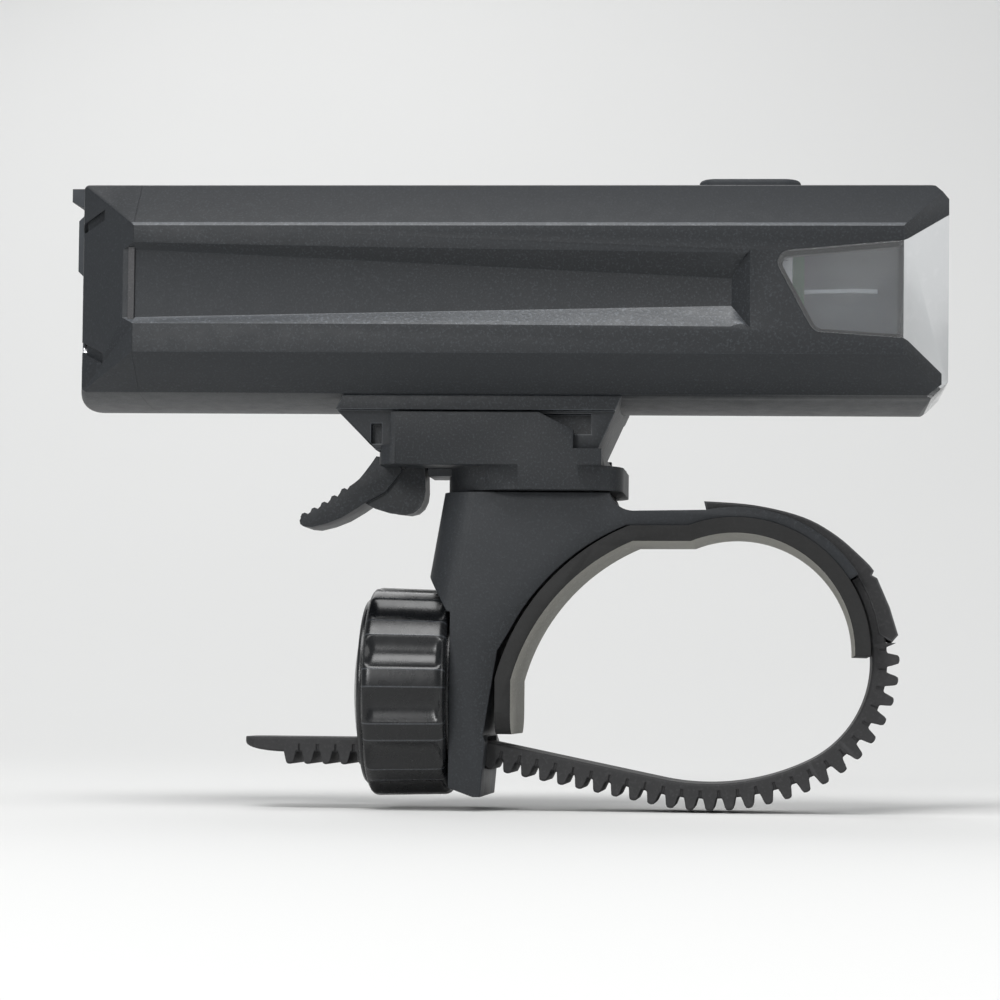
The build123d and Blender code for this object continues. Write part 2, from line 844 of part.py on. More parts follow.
with BuildPart() as board_chips:
    for place in range(1, chip_count + 1):
        x = cradle_rear + place * chip_spacing
        y = chip_side * (place % 2)
        half = chip_size / 2
        slab(x - half, x + half, y - half, y + half, board_top, board_top + chip_thickness)
export(board_chips.part, "board_chips")

with BuildPart() as led_leads:
    for side in (1, -1):
        rod(board_front - lead_length, led_board_back, side * lead_side, lead_height, lead_radius)
export(led_leads.part, "led_leads")

flange_low = flange_top - flange_thickness
switch_half = switch_size / 2
switch_top = board_top + switch_thickness
with BuildPart() as tact_switch:
    slab(switch_x - switch_half, switch_x + switch_half, -switch_half, switch_half, board_top, switch_top)
    post(switch_x, 0, board_top + flange_thickness / 2, switch_top, plunger_radius + fit_gap, Mode.SUBTRACT)
export(tact_switch.part, "tact_switch")

with BuildPart() as power_button:
    for length, reach, low, high in (
        (button_length, button_width, flange_low, body_top + crown + button_proud),
        (button_length + 2 * flange_reach, button_width + 2 * flange_reach, flange_low, flange_top),
    ):
        with BuildSketch(Plane.XY.offset(low)):
            with Locations((button_centre, 0)):
                RectangleRounded(length, reach, button_corner)
        extrude(amount=high - low)
    fillet(power_button.faces().sort_by(Axis.Z)[-1].edges(), button_edge)
export(power_button.part, "power_button")

with BuildPart() as switch_plunger:
    post(switch_x, 0, flange_low - plunger_length, flange_low, plunger_radius)
export(switch_plunger.part, "switch_plunger")

# Rail shoe under the light, held by two countersunk screws; its slot is open at the rear
with BuildPart() as rail_shoe:
    flange_height = body_floor - shoe_flange_low
    profile(
        [
            (shoe_rear + flange_height / 2, body_floor),
            (shoe_rear, shoe_flange_low),
            (shoe_front - shoe_front_slope * front_lean_share, shoe_flange_low),
            (shoe_front, body_floor),
        ],
        shoe_flange_width,
    )
    profile(
        [
            (shoe_rear, shoe_flange_low),
            (shoe_rear + shoe_rear_slope, shoe_low),
            (shoe_front - shoe_front_slope, shoe_low),
            (shoe_front - shoe_front_slope * front_lean_share, shoe_flange_low),
        ],
        shoe_width,
    )
    add(envelope.part, mode=Mode.SUBTRACT)
    for width, low in ((slot_neck_width, shoe_low), (slot_head_width, slot_step)):
        slab(shoe_rear, slot_front, -width / 2, width / 2, low, slot_top, Mode.SUBTRACT)
    for side in (1, -1):
        half = shoe_width / 2
        slab(pocket_rear, pocket_front, side * (half - side_pocket_depth), side * half, side_pocket_low,
             side_pocket_top, Mode.SUBTRACT)
        slab(shoe_rear + shoe_rear_slope - slit_width / 2, shoe_rear + shoe_rear_slope + slit_width / 2,
             side * (half - side_pocket_depth), side * half, side_pocket_low - slit_width, side_pocket_top - slit_width,
             Mode.SUBTRACT)
    for x in (shoe_screw_x, shoe_screw_x - shoe_screw_spacing):
        post(x, 0, shoe_low, body_floor, shoe_screw_radius + fit_gap, Mode.SUBTRACT)
        with Locations((x, 0, slot_top + shoe_screw_head / 2)):
            Cone(shoe_screw_head_radius, shoe_screw_radius + fit_gap, shoe_screw_head, mode=Mode.SUBTRACT)
export(rail_shoe.part, "rail_shoe")

with BuildPart() as shoe_screws:
    for x in (shoe_screw_x, shoe_screw_x - shoe_screw_spacing):
        with Locations((x, 0, slot_top + shoe_screw_head / 2)):
            Cone(shoe_screw_head_radius - fit_gap, shoe_screw_radius, shoe_screw_head)
        post(x, 0, slot_top, shoe_screw_top, shoe_screw_radius)
        slab(x - shoe_screw_radius, x + shoe_screw_radius, -pin_radius / 2, pin_radius / 2, slot_top,
             slot_top + shoe_screw_head / 2, Mode.SUBTRACT)
export(shoe_screws.part, "shoe_screws")

# Bracket: cheeks either side of the shoe, two studs in its slot, and a disc that turns on the clamp
cheek_inside = shoe_width / 2 + slide_gap
with BuildPart() as bracket_block:
    profile(
        [
            (bracket_rear, bracket_low),
            (bracket_rear, cheek_step_top),
            (bracket_rear + cheek_step, cheek_step_top),
            (bracket_rear + cheek_step, cheek_top),
            (bracket_front - cheek_cut, cheek_top),
            (bracket_front, cheek_top - cheek_cut_drop),
            (bracket_front, toe_top),
            (bracket_toe, toe_top),
            (bracket_toe, bracket_low),
        ],
        bracket_width,
    )
    fillet(bracket_block.edges().filter_by(Axis.Z).group_by(Axis.X)[0], bracket_corner)
    slab(bracket_rear, bracket_toe, -cheek_inside, cheek_inside, bracket_floor, cheek_top, Mode.SUBTRACT)
    post(swivel_x, 0, disc_low, disc_top, disc_radius)
    skirt_front = swivel_x + disc_radius
    with BuildSketch(Plane.XY.offset(disc_low)):
        with Locations(((skirt_rear + skirt_front) / 2, 0)):
            RectangleRounded(skirt_front - skirt_rear, bracket_width, skirt_corner)
    extrude(amount=bracket_low - disc_low)
    slab(tail_plate_rear, swivel_x, -leaf_width / 2, leaf_width / 2, bracket_low - tail_plate_thickness, bracket_low)
    neck = slot_neck_width / 2 - slide_gap
    head = slot_head_width / 2 - slide_gap
    for rear, front in ((stud_rear, stud_mid_rear), (stud_mid_front, stud_front)):
        slab(rear, front, -neck, neck, bracket_floor, slot_top - slide_gap)
        slab(rear, front, -head, head, slot_step + slide_gap, slot_top - slide_gap)
    slot_half = lever_width / 2 + slide_gap
    slab(bracket_rear, tail_plate_rear, -slot_half, slot_half, bracket_low - overrun, bracket_floor, Mode.SUBTRACT)
    axle(lever_pivot_x, lever_pivot_z, -lever_pin_length / 2, lever_pin_length / 2, pin_radius, Mode.SUBTRACT)
    post(swivel_x, 0, screw_pocket_floor, slot_top, screw_head_radius + curved_gap, Mode.SUBTRACT)
    post(swivel_x, 0, disc_low, disc_top, screw_radius + fit_gap, Mode.SUBTRACT)
export(bracket_block.part, "bracket_block")

with BuildPart() as lever_pin:
    axle(lever_pivot_x, lever_pivot_z, -lever_pin_length / 2, lever_pin_length / 2, pin_radius)
export(lever_pin.part, "lever_pin")

# Release lever: a tongue to the rear with grip ridges, and a narrower leaf below the pivot
nose = (lever_pivot_x - nose_reach, lever_pivot_z + nose_rise)
tip = (lever_pivot_x - tongue_reach, lever_pivot_z - tongue_drop)
root = (lever_pivot_x - root_reach, lever_pivot_z - root_drop)
tip_low = (tip[0] + tip_thickness, tip[1] - tip_thickness / 2)
with BuildPart() as release_lever:
    with BuildSketch(Plane.XZ) as tongue:
        with BuildLine():
            upper = SagittaArc(nose, tip, tongue_sag)
            Polyline(
                tip,
                tip_low,
                root,
                (lever_pivot_x - nose_reach / 2, lever_pivot_z - nose_reach / 2),
                (lever_pivot_x, lever_pivot_z - lever_eye_radius),
                (lever_pivot_x, lever_pivot_z + lever_eye_radius),
                nose,
            )
        make_face()
        fillet(tongue.vertices().sort_by(Axis.Y)[:2], tip_radius)
    draw_across(tongue.sketch, lever_width)
    with BuildSketch(Plane.XZ) as leaf:
        with BuildLine():
            Polyline(
                (lever_pivot_x - nose_reach / 2, lever_pivot_z - lever_eye_radius),
                (lever_pivot_x + leaf_front / 2, lever_pivot_z - lever_eye_radius),
                (lever_pivot_x + leaf_front, lever_pivot_z - leaf_front),
                (lever_pivot_x + leaf_front, lever_pivot_z - root_drop),
                (lever_pivot_x + leaf_front / 3, lever_pivot_z - leaf_drop),
                (lever_pivot_x - root_reach, lever_pivot_z - root_drop),
                close=True,
            )
        make_face()
        fillet(leaf.vertices().group_by(Axis.X)[-1].sort_by(Axis.Y)[0], leaf_radius)
        fillet(leaf.vertices().sort_by(Axis.Y)[0], leaf_radius)
    draw_across(leaf.sketch, leaf_width)
    axle(lever_pivot_x, lever_pivot_z, -lever_width / 2, lever_width / 2, lever_eye_radius)
    for count in range(grip_count):
        spot = upper @ (1 - (count + 1) * grip_pitch / tongue_reach)
        axle(spot.X, spot.Y, -leaf_width / 2, leaf_width / 2, grip_height)
    axle(lever_pivot_x, lever_pivot_z, -lever_width / 2, lever_width / 2, pin_radius + fit_gap, Mode.SUBTRACT)
export(release_lever.part, "release_lever")

# Swivel screw, put in from above, with its washer and the nut in the clamp
with BuildPart() as swivel_screw:
    head_low = screw_pocket_floor + washer_thickness
    post(swivel_x, 0, head_low, head_low + screw_head, screw_head_radius)
    post(swivel_x, 0, screw_low, head_low, screw_radius)
    with BuildSketch(Plane.XY.offset(head_low + screw_head)):
        with Locations((swivel_x, 0)):
            RegularPolygon(socket_flats / 2, nut_sides, major_radius=False)
    extrude(amount=-socket_depth, mode=Mode.SUBTRACT)
export(swivel_screw.part, "swivel_screw")

with BuildPart() as swivel_washer:
    post(swivel_x, 0, screw_pocket_floor, screw_pocket_floor + washer_thickness, screw_head_radius)
    post(swivel_x, 0, screw_pocket_floor, screw_pocket_floor + washer_thickness, screw_radius + fit_gap, Mode.SUBTRACT)
export(swivel_washer.part, "swivel_washer")

with BuildPart() as swivel_nut:
    with BuildSketch(Plane.XY.offset(nut_low)):
        with Locations((swivel_x, 0)):
            RegularPolygon(nut_flats / 2, nut_sides, major_radius=False, rotation=half_turn / nut_sides)
            Circle(screw_radius + fit_gap, mode=Mode.SUBTRACT)
    extrude(amount=nut_top - nut_low)
export(swivel_nut.part, "swivel_nut")

# Clamp base
arm_end_inside = polar(arm_inside, arm_end_angle)
arm_end_outside = polar(arm_outside, arm_end_angle)
arm_top = polar(arm_outside, arm_top_angle)
pad_end_angle = pad_start_angle + pad_sweep_angle
slot_top_height = tail_top + slot_gap
slot_low_height = strap_root - tooth_height - slot_gap
with BuildPart() as clamp_base:
    with BuildSketch(Plane.XZ) as side_view:
        with BuildLine():
            Polyline(
                (neck_x, clamp_top),
                (clamp_shoulder, clamp_top),
                (clamp_hip_x, clamp_hip_z),
                (clamp_chin_x, clamp_chin_z),
                (column_back, column_waist),
                (column_back, column_foot + foot_slope),
                (column_front, column_foot),
                (lip_front - foot_slope / 2, column_foot),
                (lip_front, lip_top),
                (column_front, lip_top + lip_rise),
                (seat_heel_x, 0),
                (seat_low_x, seat_low_z),
            )
            seat = ThreePointArc((seat_low_x, seat_low_z), (seat_mid_x, seat_mid_z), (seat_top_x, pad_shelf))
            under = Line(seat @ 1, (-math.sqrt(arm_inside**2 - pad_shelf**2), pad_shelf))
            ThreePointArc(under @ 1, polar(arm_inside, (pad_end_angle + arm_end_angle) / 2), arm_end_inside)
            Line(arm_end_inside, arm_end_outside)
            over = ThreePointArc(
                arm_end_outside, polar(arm_outside, (arm_end_angle + arm_top_angle) / 2), arm_top
            )
            back = Line(over @ 1, (arm_back_x, arm_back_z))
            ThreePointArc(
                back @ 1,
                (neck_x + (arm_back_x - neck_x) / 3, arm_back_z + (clamp_top - arm_back_z) / 3),
                (neck_x, clamp_top),
            )
        make_face()
    draw_across(side_view.sketch, clamp_width)
    fillet(clamp_base.edges().filter_by(lambda e: e.center().X < clamp_shoulder and e.center().Z > clamp_hip_z
                                        and abs(e.center().Y) > clamp_width / 2 - fit_gap), clamp_corner)
    rod(knob_rear - overrun, column_back, 0, knob_height, knob_radius + knob_pocket_gap, Mode.SUBTRACT)
    slot_half = strap_half + slot_gap
    slab(clamp_hip_x, lip_front + overrun, -slot_half, slot_half, slot_low_height, slot_top_height, Mode.SUBTRACT)
    nut_half = nut_flats / 2 + fit_gap
    slab(swivel_x - nut_half, swivel_x + nut_half, -nut_slot_width / 2, nut_slot_width / 2, 0, nut_top, Mode.SUBTRACT)
    post(swivel_x, 0, nut_top - fit_gap, clamp_top + overrun, screw_radius + fit_gap, Mode.SUBTRACT)
    rod(column_back, column_back + hub_screw_reach, 0, knob_height, hub_screw_radius + fit_gap, Mode.SUBTRACT)
export(clamp_base.part, "clamp_base")

# Rubber pad: round over the bar, then a curved flap down behind it
with BuildPart() as bar_pad:
    with BuildSketch(Plane.XZ) as pad_view:
        with BuildLine():
            around = CenterArc((0, 0), bar_radius, pad_start_angle, pad_sweep_angle)
            across = Line(around @ 1, (-pad_corner_back, pad_corner_rise))
            behind = SagittaArc(across @ 1, (-pad_heel_back, -pad_heel_drop), -pad_heel_bulge)
            Line(behind @ 1, (-pad_heel_back, -pad_tail_drop))
            offset(amount=pad_thickness, side=Side.RIGHT, closed=True)
        make_face()
    draw_across(pad_view.sketch, pad_width)
    pad_foot = bar_pad.edges().filter_by(Axis.X).group_by(Axis.Z)[0]
    fillet(pad_foot, pad_corner_radius)
export(bar_pad.part, "bar_pad")

# Hub that the knob turns on, with the channel that the strap runs through
with BuildPart() as hub_sleeve:
    rod(knob_rear - fit_gap, column_back, 0, knob_height, hub_radius)
    channel = hub_radius + fit_gap
    slab(knob_rear - overrun, column_back, -slot_half, slot_half, knob_height - channel, slot_top_height, Mode.SUBTRACT)
    rod(knob_rear - overrun, column_back, 0, knob_height, hub_screw_radius + fit_gap, Mode.SUBTRACT)
export(hub_sleeve.part, "hub_sleeve")

cap_front = knob_rear - fit_gap
with BuildPart() as hub_cap:
    rod(cap_front - cap_rim, cap_front, 0, knob_height, cap_radius)
    chamfer(hub_cap.edges().filter_by(GeomType.CIRCLE).group_by(Axis.X)[0], cap_rim / 2)
    with BuildSketch(Plane.XZ) as dome:
        with BuildLine():
            rim_x = cap_front - cap_rim
            bulge = ThreePointArc(
                (rim_x, knob_height + cap_dome_radius),
                (rim_x - cap_dome * dome_share, knob_height + cap_dome_radius / 2),
                (rim_x - cap_dome, knob_height),
            )
            Polyline(bulge @ 1, (rim_x, knob_height), bulge @ 0)
        make_face()
    revolve(dome.sketch, axis=Axis((0, 0, knob_height), (1, 0, 0)))
    slab(tail_tip, cap_front, -slot_half, slot_half, slot_low_height, slot_top_height, Mode.SUBTRACT)
    rod(tail_tip, cap_front, 0, knob_height, hub_screw_radius + fit_gap, Mode.SUBTRACT)
    rod(tail_tip, cap_front - cap_rim, 0, knob_height, hub_screw_head_radius + fit_gap, Mode.SUBTRACT)
export(hub_cap.part, "hub_cap")

with BuildPart() as hub_screw:
    head_front = cap_front - cap_rim
    rod(head_front - hub_screw_head, head_front, 0, knob_height, hub_screw_head_radius)
    rod(head_front, column_back + hub_screw_reach, 0, knob_height, hub_screw_radius)
    slab(head_front - hub_screw_head, head_front - hub_screw_head / 2, -hub_screw_head_radius, hub_screw_head_radius,
         knob_height - pin_radius / 2, knob_height + pin_radius / 2, Mode.SUBTRACT)
export(hub_screw.part, "hub_screw")

# Knob: a ring with grip grooves that turns on the hub and draws the strap through
with BuildPart() as thumb_nut:
    with BuildSketch(Plane.YZ.offset(knob_rear)) as ring:
        with Locations((0, knob_height)):
            Circle(knob_radius)
            with PolarLocations(knob_radius + lobe_groove_radius - lobe_groove_depth, lobe_count, lobe_turn):
                Circle(lobe_groove_radius, mode=Mode.SUBTRACT)
    extrude(ring.sketch, amount=knob_front - knob_rear)
    with BuildSketch(Plane.XZ) as turned:
        with BuildLine():
            edge = knob_height + knob_radius
            middle = (knob_rear + knob_front) / 2
            Polyline(
                (knob_rear, knob_height),
                (knob_rear, edge - knob_edge),
                (knob_rear + knob_edge, edge),
                (middle, edge),
                (knob_front - knob_edge, edge - knob_taper),
                (knob_front, edge - knob_taper - knob_edge),
                (knob_front, knob_height),
                close=True,
            )
        make_face()
    revolve(turned.sketch, axis=Axis((0, 0, knob_height), (1, 0, 0)), mode=Mode.INTERSECT)
    rod(knob_rear, knob_front, 0, knob_height, knob_bore, Mode.SUBTRACT)
export(thumb_nut.part, "thumb_nut")

# Toothed strap, in two pieces: the loop from the arm around the bar, and the tail through the knob
tooth = [
    (-tooth_root / 2, -fit_gap),
    (-tooth_tip / 2, tooth_height),
    (tooth_tip / 2, tooth_height),
    (tooth_root / 2, -fit_gap),
]
side_centre = (strap_side_x, strap_side_z)
turn = polar(strap_side_radius, strap_turn_angle, side_centre)
low_centre = polar(-strap_low_radius, strap_turn_angle, turn)
leave = polar(strap_low_radius, strap_leave_angle, low_centre)
loop_top = polar(strap_side_radius, strap_side_angle, side_centre)
step_angle = arm_end_angle - band_step_angle
side_teeth, travelled = teeth_around(
    side_centre, strap_side_radius + strap_thickness, strap_side_angle, strap_turn_angle, loop_tooth_start
)
low_teeth, travelled = teeth_around(
    low_centre, strap_low_radius + strap_thickness, strap_turn_angle, strap_leave_angle, travelled
)
loop_teeth = side_teeth + low_teeth
run_start = polar(strap_thickness, strap_leave_angle, leave)
while run_start[0] - travelled > lip_front + tooth_root:
    spot = polar(travelled, strap_leave_angle - 90, run_start)
    loop_teeth.append(Location((*spot, 0), strap_leave_angle - 90))
    travelled += tooth_pitch

with BuildPart() as strap_loop:
    with BuildSketch(Plane.XZ) as loop_view:
        with BuildLine():
            upper = ThreePointArc(
                polar(strap_reach, step_angle), polar(strap_reach, (step_angle + strap_side_angle) / 2), loop_top
            )
            CenterArc(side_centre, strap_side_radius, strap_side_angle, strap_turn_angle - strap_side_angle)
            CenterArc(low_centre, strap_low_radius, strap_turn_angle, strap_leave_angle - strap_turn_angle)
            Polyline(leave, (strap_bend_x, tail_top), (tail_split, tail_top))
            offset(amount=strap_thickness, side=Side.LEFT, closed=True)
        make_face()
        with BuildLine():
            band = ThreePointArc((band_start_x, band_start_z), (band_mid_x, band_mid_z), (band_end_x, band_end_z))
            Polyline(band @ 1, (hook_x, hook_z + hook_depth / 2), (hook_x - hook_depth / 4, hook_z),
                     (hook_x + hook_depth / 4, hook_z - hook_depth / 4))
            ThreePointArc((hook_x + hook_depth / 4, hook_z - hook_depth / 4), (heel_x, heel_z), (heel_low_x, heel_low_z))
            band_middle = strap_reach + strap_thickness / 2
            Polyline((heel_low_x, heel_low_z), polar(band_middle, heel_angle), polar(arm_outside, step_angle))
            ThreePointArc(polar(arm_outside, step_angle), polar(arm_outside, (step_angle + arm_top_angle) / 2), arm_top)
            Line(arm_top, band @ 0)
        make_face()
        with Locations(*loop_teeth):
            Polygon(*tooth, align=None)
    draw_across(loop_view.sketch, strap_width)
    add(clamp_base.part, mode=Mode.SUBTRACT)
export(strap_loop.part, "strap_loop")

tail_teeth = []
tooth_x = tail_tip + tail_plain
while tooth_x < tail_split - tooth_root:
    tail_teeth.append(Location((tooth_x, strap_root, 0), 180))
    tooth_x += tooth_pitch
with BuildPart() as strap_tail:
    with BuildSketch(Plane.XY.offset(tail_top + overrun)) as tail_plan:
        with Locations(((tail_tip + tail_split) / 2, 0)):
            Rectangle(tail_split - tail_tip, strap_width)
        fillet(tail_plan.vertices().group_by(Axis.X)[0], tail_corner)
    extrude(amount=-(strap_thickness + tooth_height + 2 * overrun))
    with BuildSketch(Plane.XZ) as tail_view:
        with BuildLine():
            Polyline(
                (tail_split, tail_top),
                (tail_tip, tail_top),
                (tail_tip + tail_taper, strap_root),
                (tail_split, strap_root),
                close=True,
            )
        make_face()
        with Locations(*tail_teeth):
            Polygon(*tooth, align=None)
    draw_across(tail_view.sketch, strap_width + overrun, Mode.INTERSECT)
export(strap_tail.part, "strap_tail")
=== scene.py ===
import math
from collections import namedtuple
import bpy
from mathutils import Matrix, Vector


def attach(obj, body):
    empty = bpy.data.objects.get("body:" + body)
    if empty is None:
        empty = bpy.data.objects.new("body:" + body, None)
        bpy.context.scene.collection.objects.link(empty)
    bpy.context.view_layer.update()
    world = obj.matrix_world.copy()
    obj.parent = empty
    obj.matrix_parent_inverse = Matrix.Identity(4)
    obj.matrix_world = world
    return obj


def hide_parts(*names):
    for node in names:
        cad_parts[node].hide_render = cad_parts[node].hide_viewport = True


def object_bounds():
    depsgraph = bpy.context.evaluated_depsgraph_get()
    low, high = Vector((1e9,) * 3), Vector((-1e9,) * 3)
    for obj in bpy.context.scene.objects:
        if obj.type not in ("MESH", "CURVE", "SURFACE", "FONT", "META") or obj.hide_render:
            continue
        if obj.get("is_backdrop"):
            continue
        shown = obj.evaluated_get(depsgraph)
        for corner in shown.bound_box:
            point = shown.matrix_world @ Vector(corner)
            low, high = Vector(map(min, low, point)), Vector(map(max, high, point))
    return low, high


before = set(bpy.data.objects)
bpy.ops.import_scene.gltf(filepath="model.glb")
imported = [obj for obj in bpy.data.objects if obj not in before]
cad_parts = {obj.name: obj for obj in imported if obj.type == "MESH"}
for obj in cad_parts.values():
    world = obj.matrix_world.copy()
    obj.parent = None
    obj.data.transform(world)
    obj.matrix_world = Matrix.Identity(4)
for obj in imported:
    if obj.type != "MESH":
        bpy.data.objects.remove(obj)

from types import SimpleNamespace

import bmesh
import bpy
from mathutils import Matrix, Vector

bl_info = {
    "name": "Bike headlight",
    "version": (1, 0, 0),
    "blender": (4, 5, 0),
    "location": "View3D > Sidebar > Headlight",
    "description": "Dresses a rechargeable bike headlight and its handlebar clamp for a studio render",
    "category": "Object",
}

# Shapes are written in millimetres. Settings, finishes and meshes are in metres.
MM = 0.001


class FinishSettings(bpy.types.PropertyGroup):
    """Colours and surface detail of the plastics, rubbers and the lens."""

    shell_colour: bpy.props.FloatVectorProperty(
        name="Shell", description="Colour of the moulded black plastic", subtype="COLOR",
        size=3, min=0, max=1, default=(0.0165, 0.0185, 0.021))
    knob_colour: bpy.props.FloatVectorProperty(
        name="Knob", description="Colour of the satin knob and its cap", subtype="COLOR",
        size=3, min=0, max=1, default=(0.006, 0.0066, 0.0075))
    strap_colour: bpy.props.FloatVectorProperty(
        name="Strap", description="Colour of the strap's rubber", subtype="COLOR",
        size=3, min=0, max=1, default=(0.028, 0.028, 0.029))
    pad_colour: bpy.props.FloatVectorProperty(
        name="Pad", description="Colour of the rubber pad around the bar", subtype="COLOR",
        size=3, min=0, max=1, default=(0.0121, 0.0121, 0.0121))
    pad_face_reflection_colour: bpy.props.FloatVectorProperty(
        name="Pad face", description="Colour of the pad's face, with its painted reflection, towards the bar", subtype="COLOR",
        size=3, min=0, max=1, default=(0.26, 0.255, 0.23))
    lens_colour: bpy.props.FloatVectorProperty(
        name="Lens", description="Tint of the clear lens", subtype="COLOR",
        size=3, min=0, max=1, default=(0.93, 0.95, 0.96))
    lens_haze: bpy.props.FloatProperty(
        name="Lens haze", description="Roughness of the lens, from clear to frosted",
        subtype="FACTOR", min=0, max=1, default=0.12)
    grain_size: bpy.props.FloatProperty(
        name="Grain size", description="Width of a grain in the moulded plastic",
        unit="LENGTH", min=0.05 * MM, max=2 * MM, default=0.3 * MM)
    grain_height: bpy.props.FloatProperty(
        name="Grain height", description="Height of the grain in the moulded plastic",
        unit="LENGTH", min=0, max=0.2 * MM, default=0.02 * MM)
    edge_rounding: bpy.props.FloatProperty(
        name="Edge rounding", description="Radius of the body's moulded edges",
        unit="LENGTH", min=0.05 * MM, max=1 * MM, default=0.35 * MM)


class KnobSettings(bpy.types.PropertyGroup):
    """Shape of the thumb knob's grip."""

    lobes: bpy.props.IntProperty(
        name="Lobes", description="Number of grip grooves around the knob", min=6, max=24, default=12)
    groove_depth: bpy.props.FloatProperty(
        name="Groove depth", description="Depth of a grip groove",
        unit="LENGTH", min=0.2 * MM, max=2 * MM, default=0.9 * MM)
    groove_share: bpy.props.FloatProperty(
        name="Groove share", description="Share of each lobe's pitch that its groove takes",
        subtype="FACTOR", min=0.2, max=0.9, default=0.65)
    lobe_turn: bpy.props.FloatProperty(
        name="Lobe turn", description="Where the first grip groove lies around the knob",
        subtype="ANGLE", min=math.radians(-30), max=math.radians(30), default=math.radians(7.7))


class StrapSettings(bpy.types.PropertyGroup):
    """Sizes of the strap and its teeth, all of them lengths."""

    width: bpy.props.FloatProperty(
        name="Width", description="Width of the strap",
        unit="LENGTH", min=6 * MM, max=20 * MM, default=12 * MM)
    thickness: bpy.props.FloatProperty(
        name="Thickness", description="Thickness of the strap without its teeth",
        unit="LENGTH", min=1 * MM, max=4 * MM, default=2 * MM)
    pitch: bpy.props.FloatProperty(
        name="Tooth pitch", description="Distance between two teeth",
        unit="LENGTH", min=1 * MM, max=5 * MM, default=2.48 * MM)
    tooth: bpy.props.FloatProperty(
        name="Tooth height", description="Height of a tooth",
        unit="LENGTH", min=0.5 * MM, max=3 * MM, default=1.65 * MM)
    score: bpy.props.FloatProperty(
        name="Score depth", description="Depth of the score in the strap's sides between two teeth",
        unit="LENGTH", min=0, max=1 * MM, default=0.18 * MM)


class StudioSettings(bpy.types.PropertyGroup):
    """Camera, lamps and backdrop."""

    camera_place: bpy.props.FloatVectorProperty(
        name="Camera", description="Where the camera stands", subtype="XYZ", unit="LENGTH",
        size=3, default=(0.0066953, -0.4060638, -0.0059791))
    camera_turn: bpy.props.FloatVectorProperty(
        name="Turn", description="The camera's yaw, pitch and roll", subtype="EULER",
        size=3, default=(math.radians(-3.57), math.radians(1.85), math.radians(0.6)))
    camera_shift: bpy.props.FloatVectorProperty(
        name="Shift", description="How far the picture is shifted sideways and up, in picture widths",
        size=2, min=-1, max=1, default=(-0.1, 0.1))
    focal_length: bpy.props.FloatProperty(
        name="Focal length", description="Focal length of the camera's lens",
        unit="CAMERA", min=10, max=300, default=107.27)
    floor_colour: bpy.props.FloatVectorProperty(
        name="Floor", description="Colour of the floor and backdrop", subtype="COLOR",
        size=3, min=0, max=1, default=(0.80, 0.80, 0.79))
    lamp_strength: bpy.props.FloatProperty(
        name="Lamps", description="Strength of all the lamps together, as a share of the usual",
        min=0, max=10, default=1.0)


Settings = namedtuple("Settings", "finish knob strap studio")


def settings():
    """The headlight's settings, kept on the scene."""
    scene = bpy.context.scene
    return Settings(scene.headlight_finish, scene.headlight_knob, scene.headlight_strap, scene.headlight_studio)


def in_millimetres(group):
    """The lengths of a group that holds nothing else, by name, in millimetres."""
    return SimpleNamespace(**{name: getattr(group, name) / MM for name in group.__annotations__})


# Materials


def shade(colour, factor):
    """A colour made lighter or darker."""
    return tuple(min(1.0, part * factor) for part in colour)


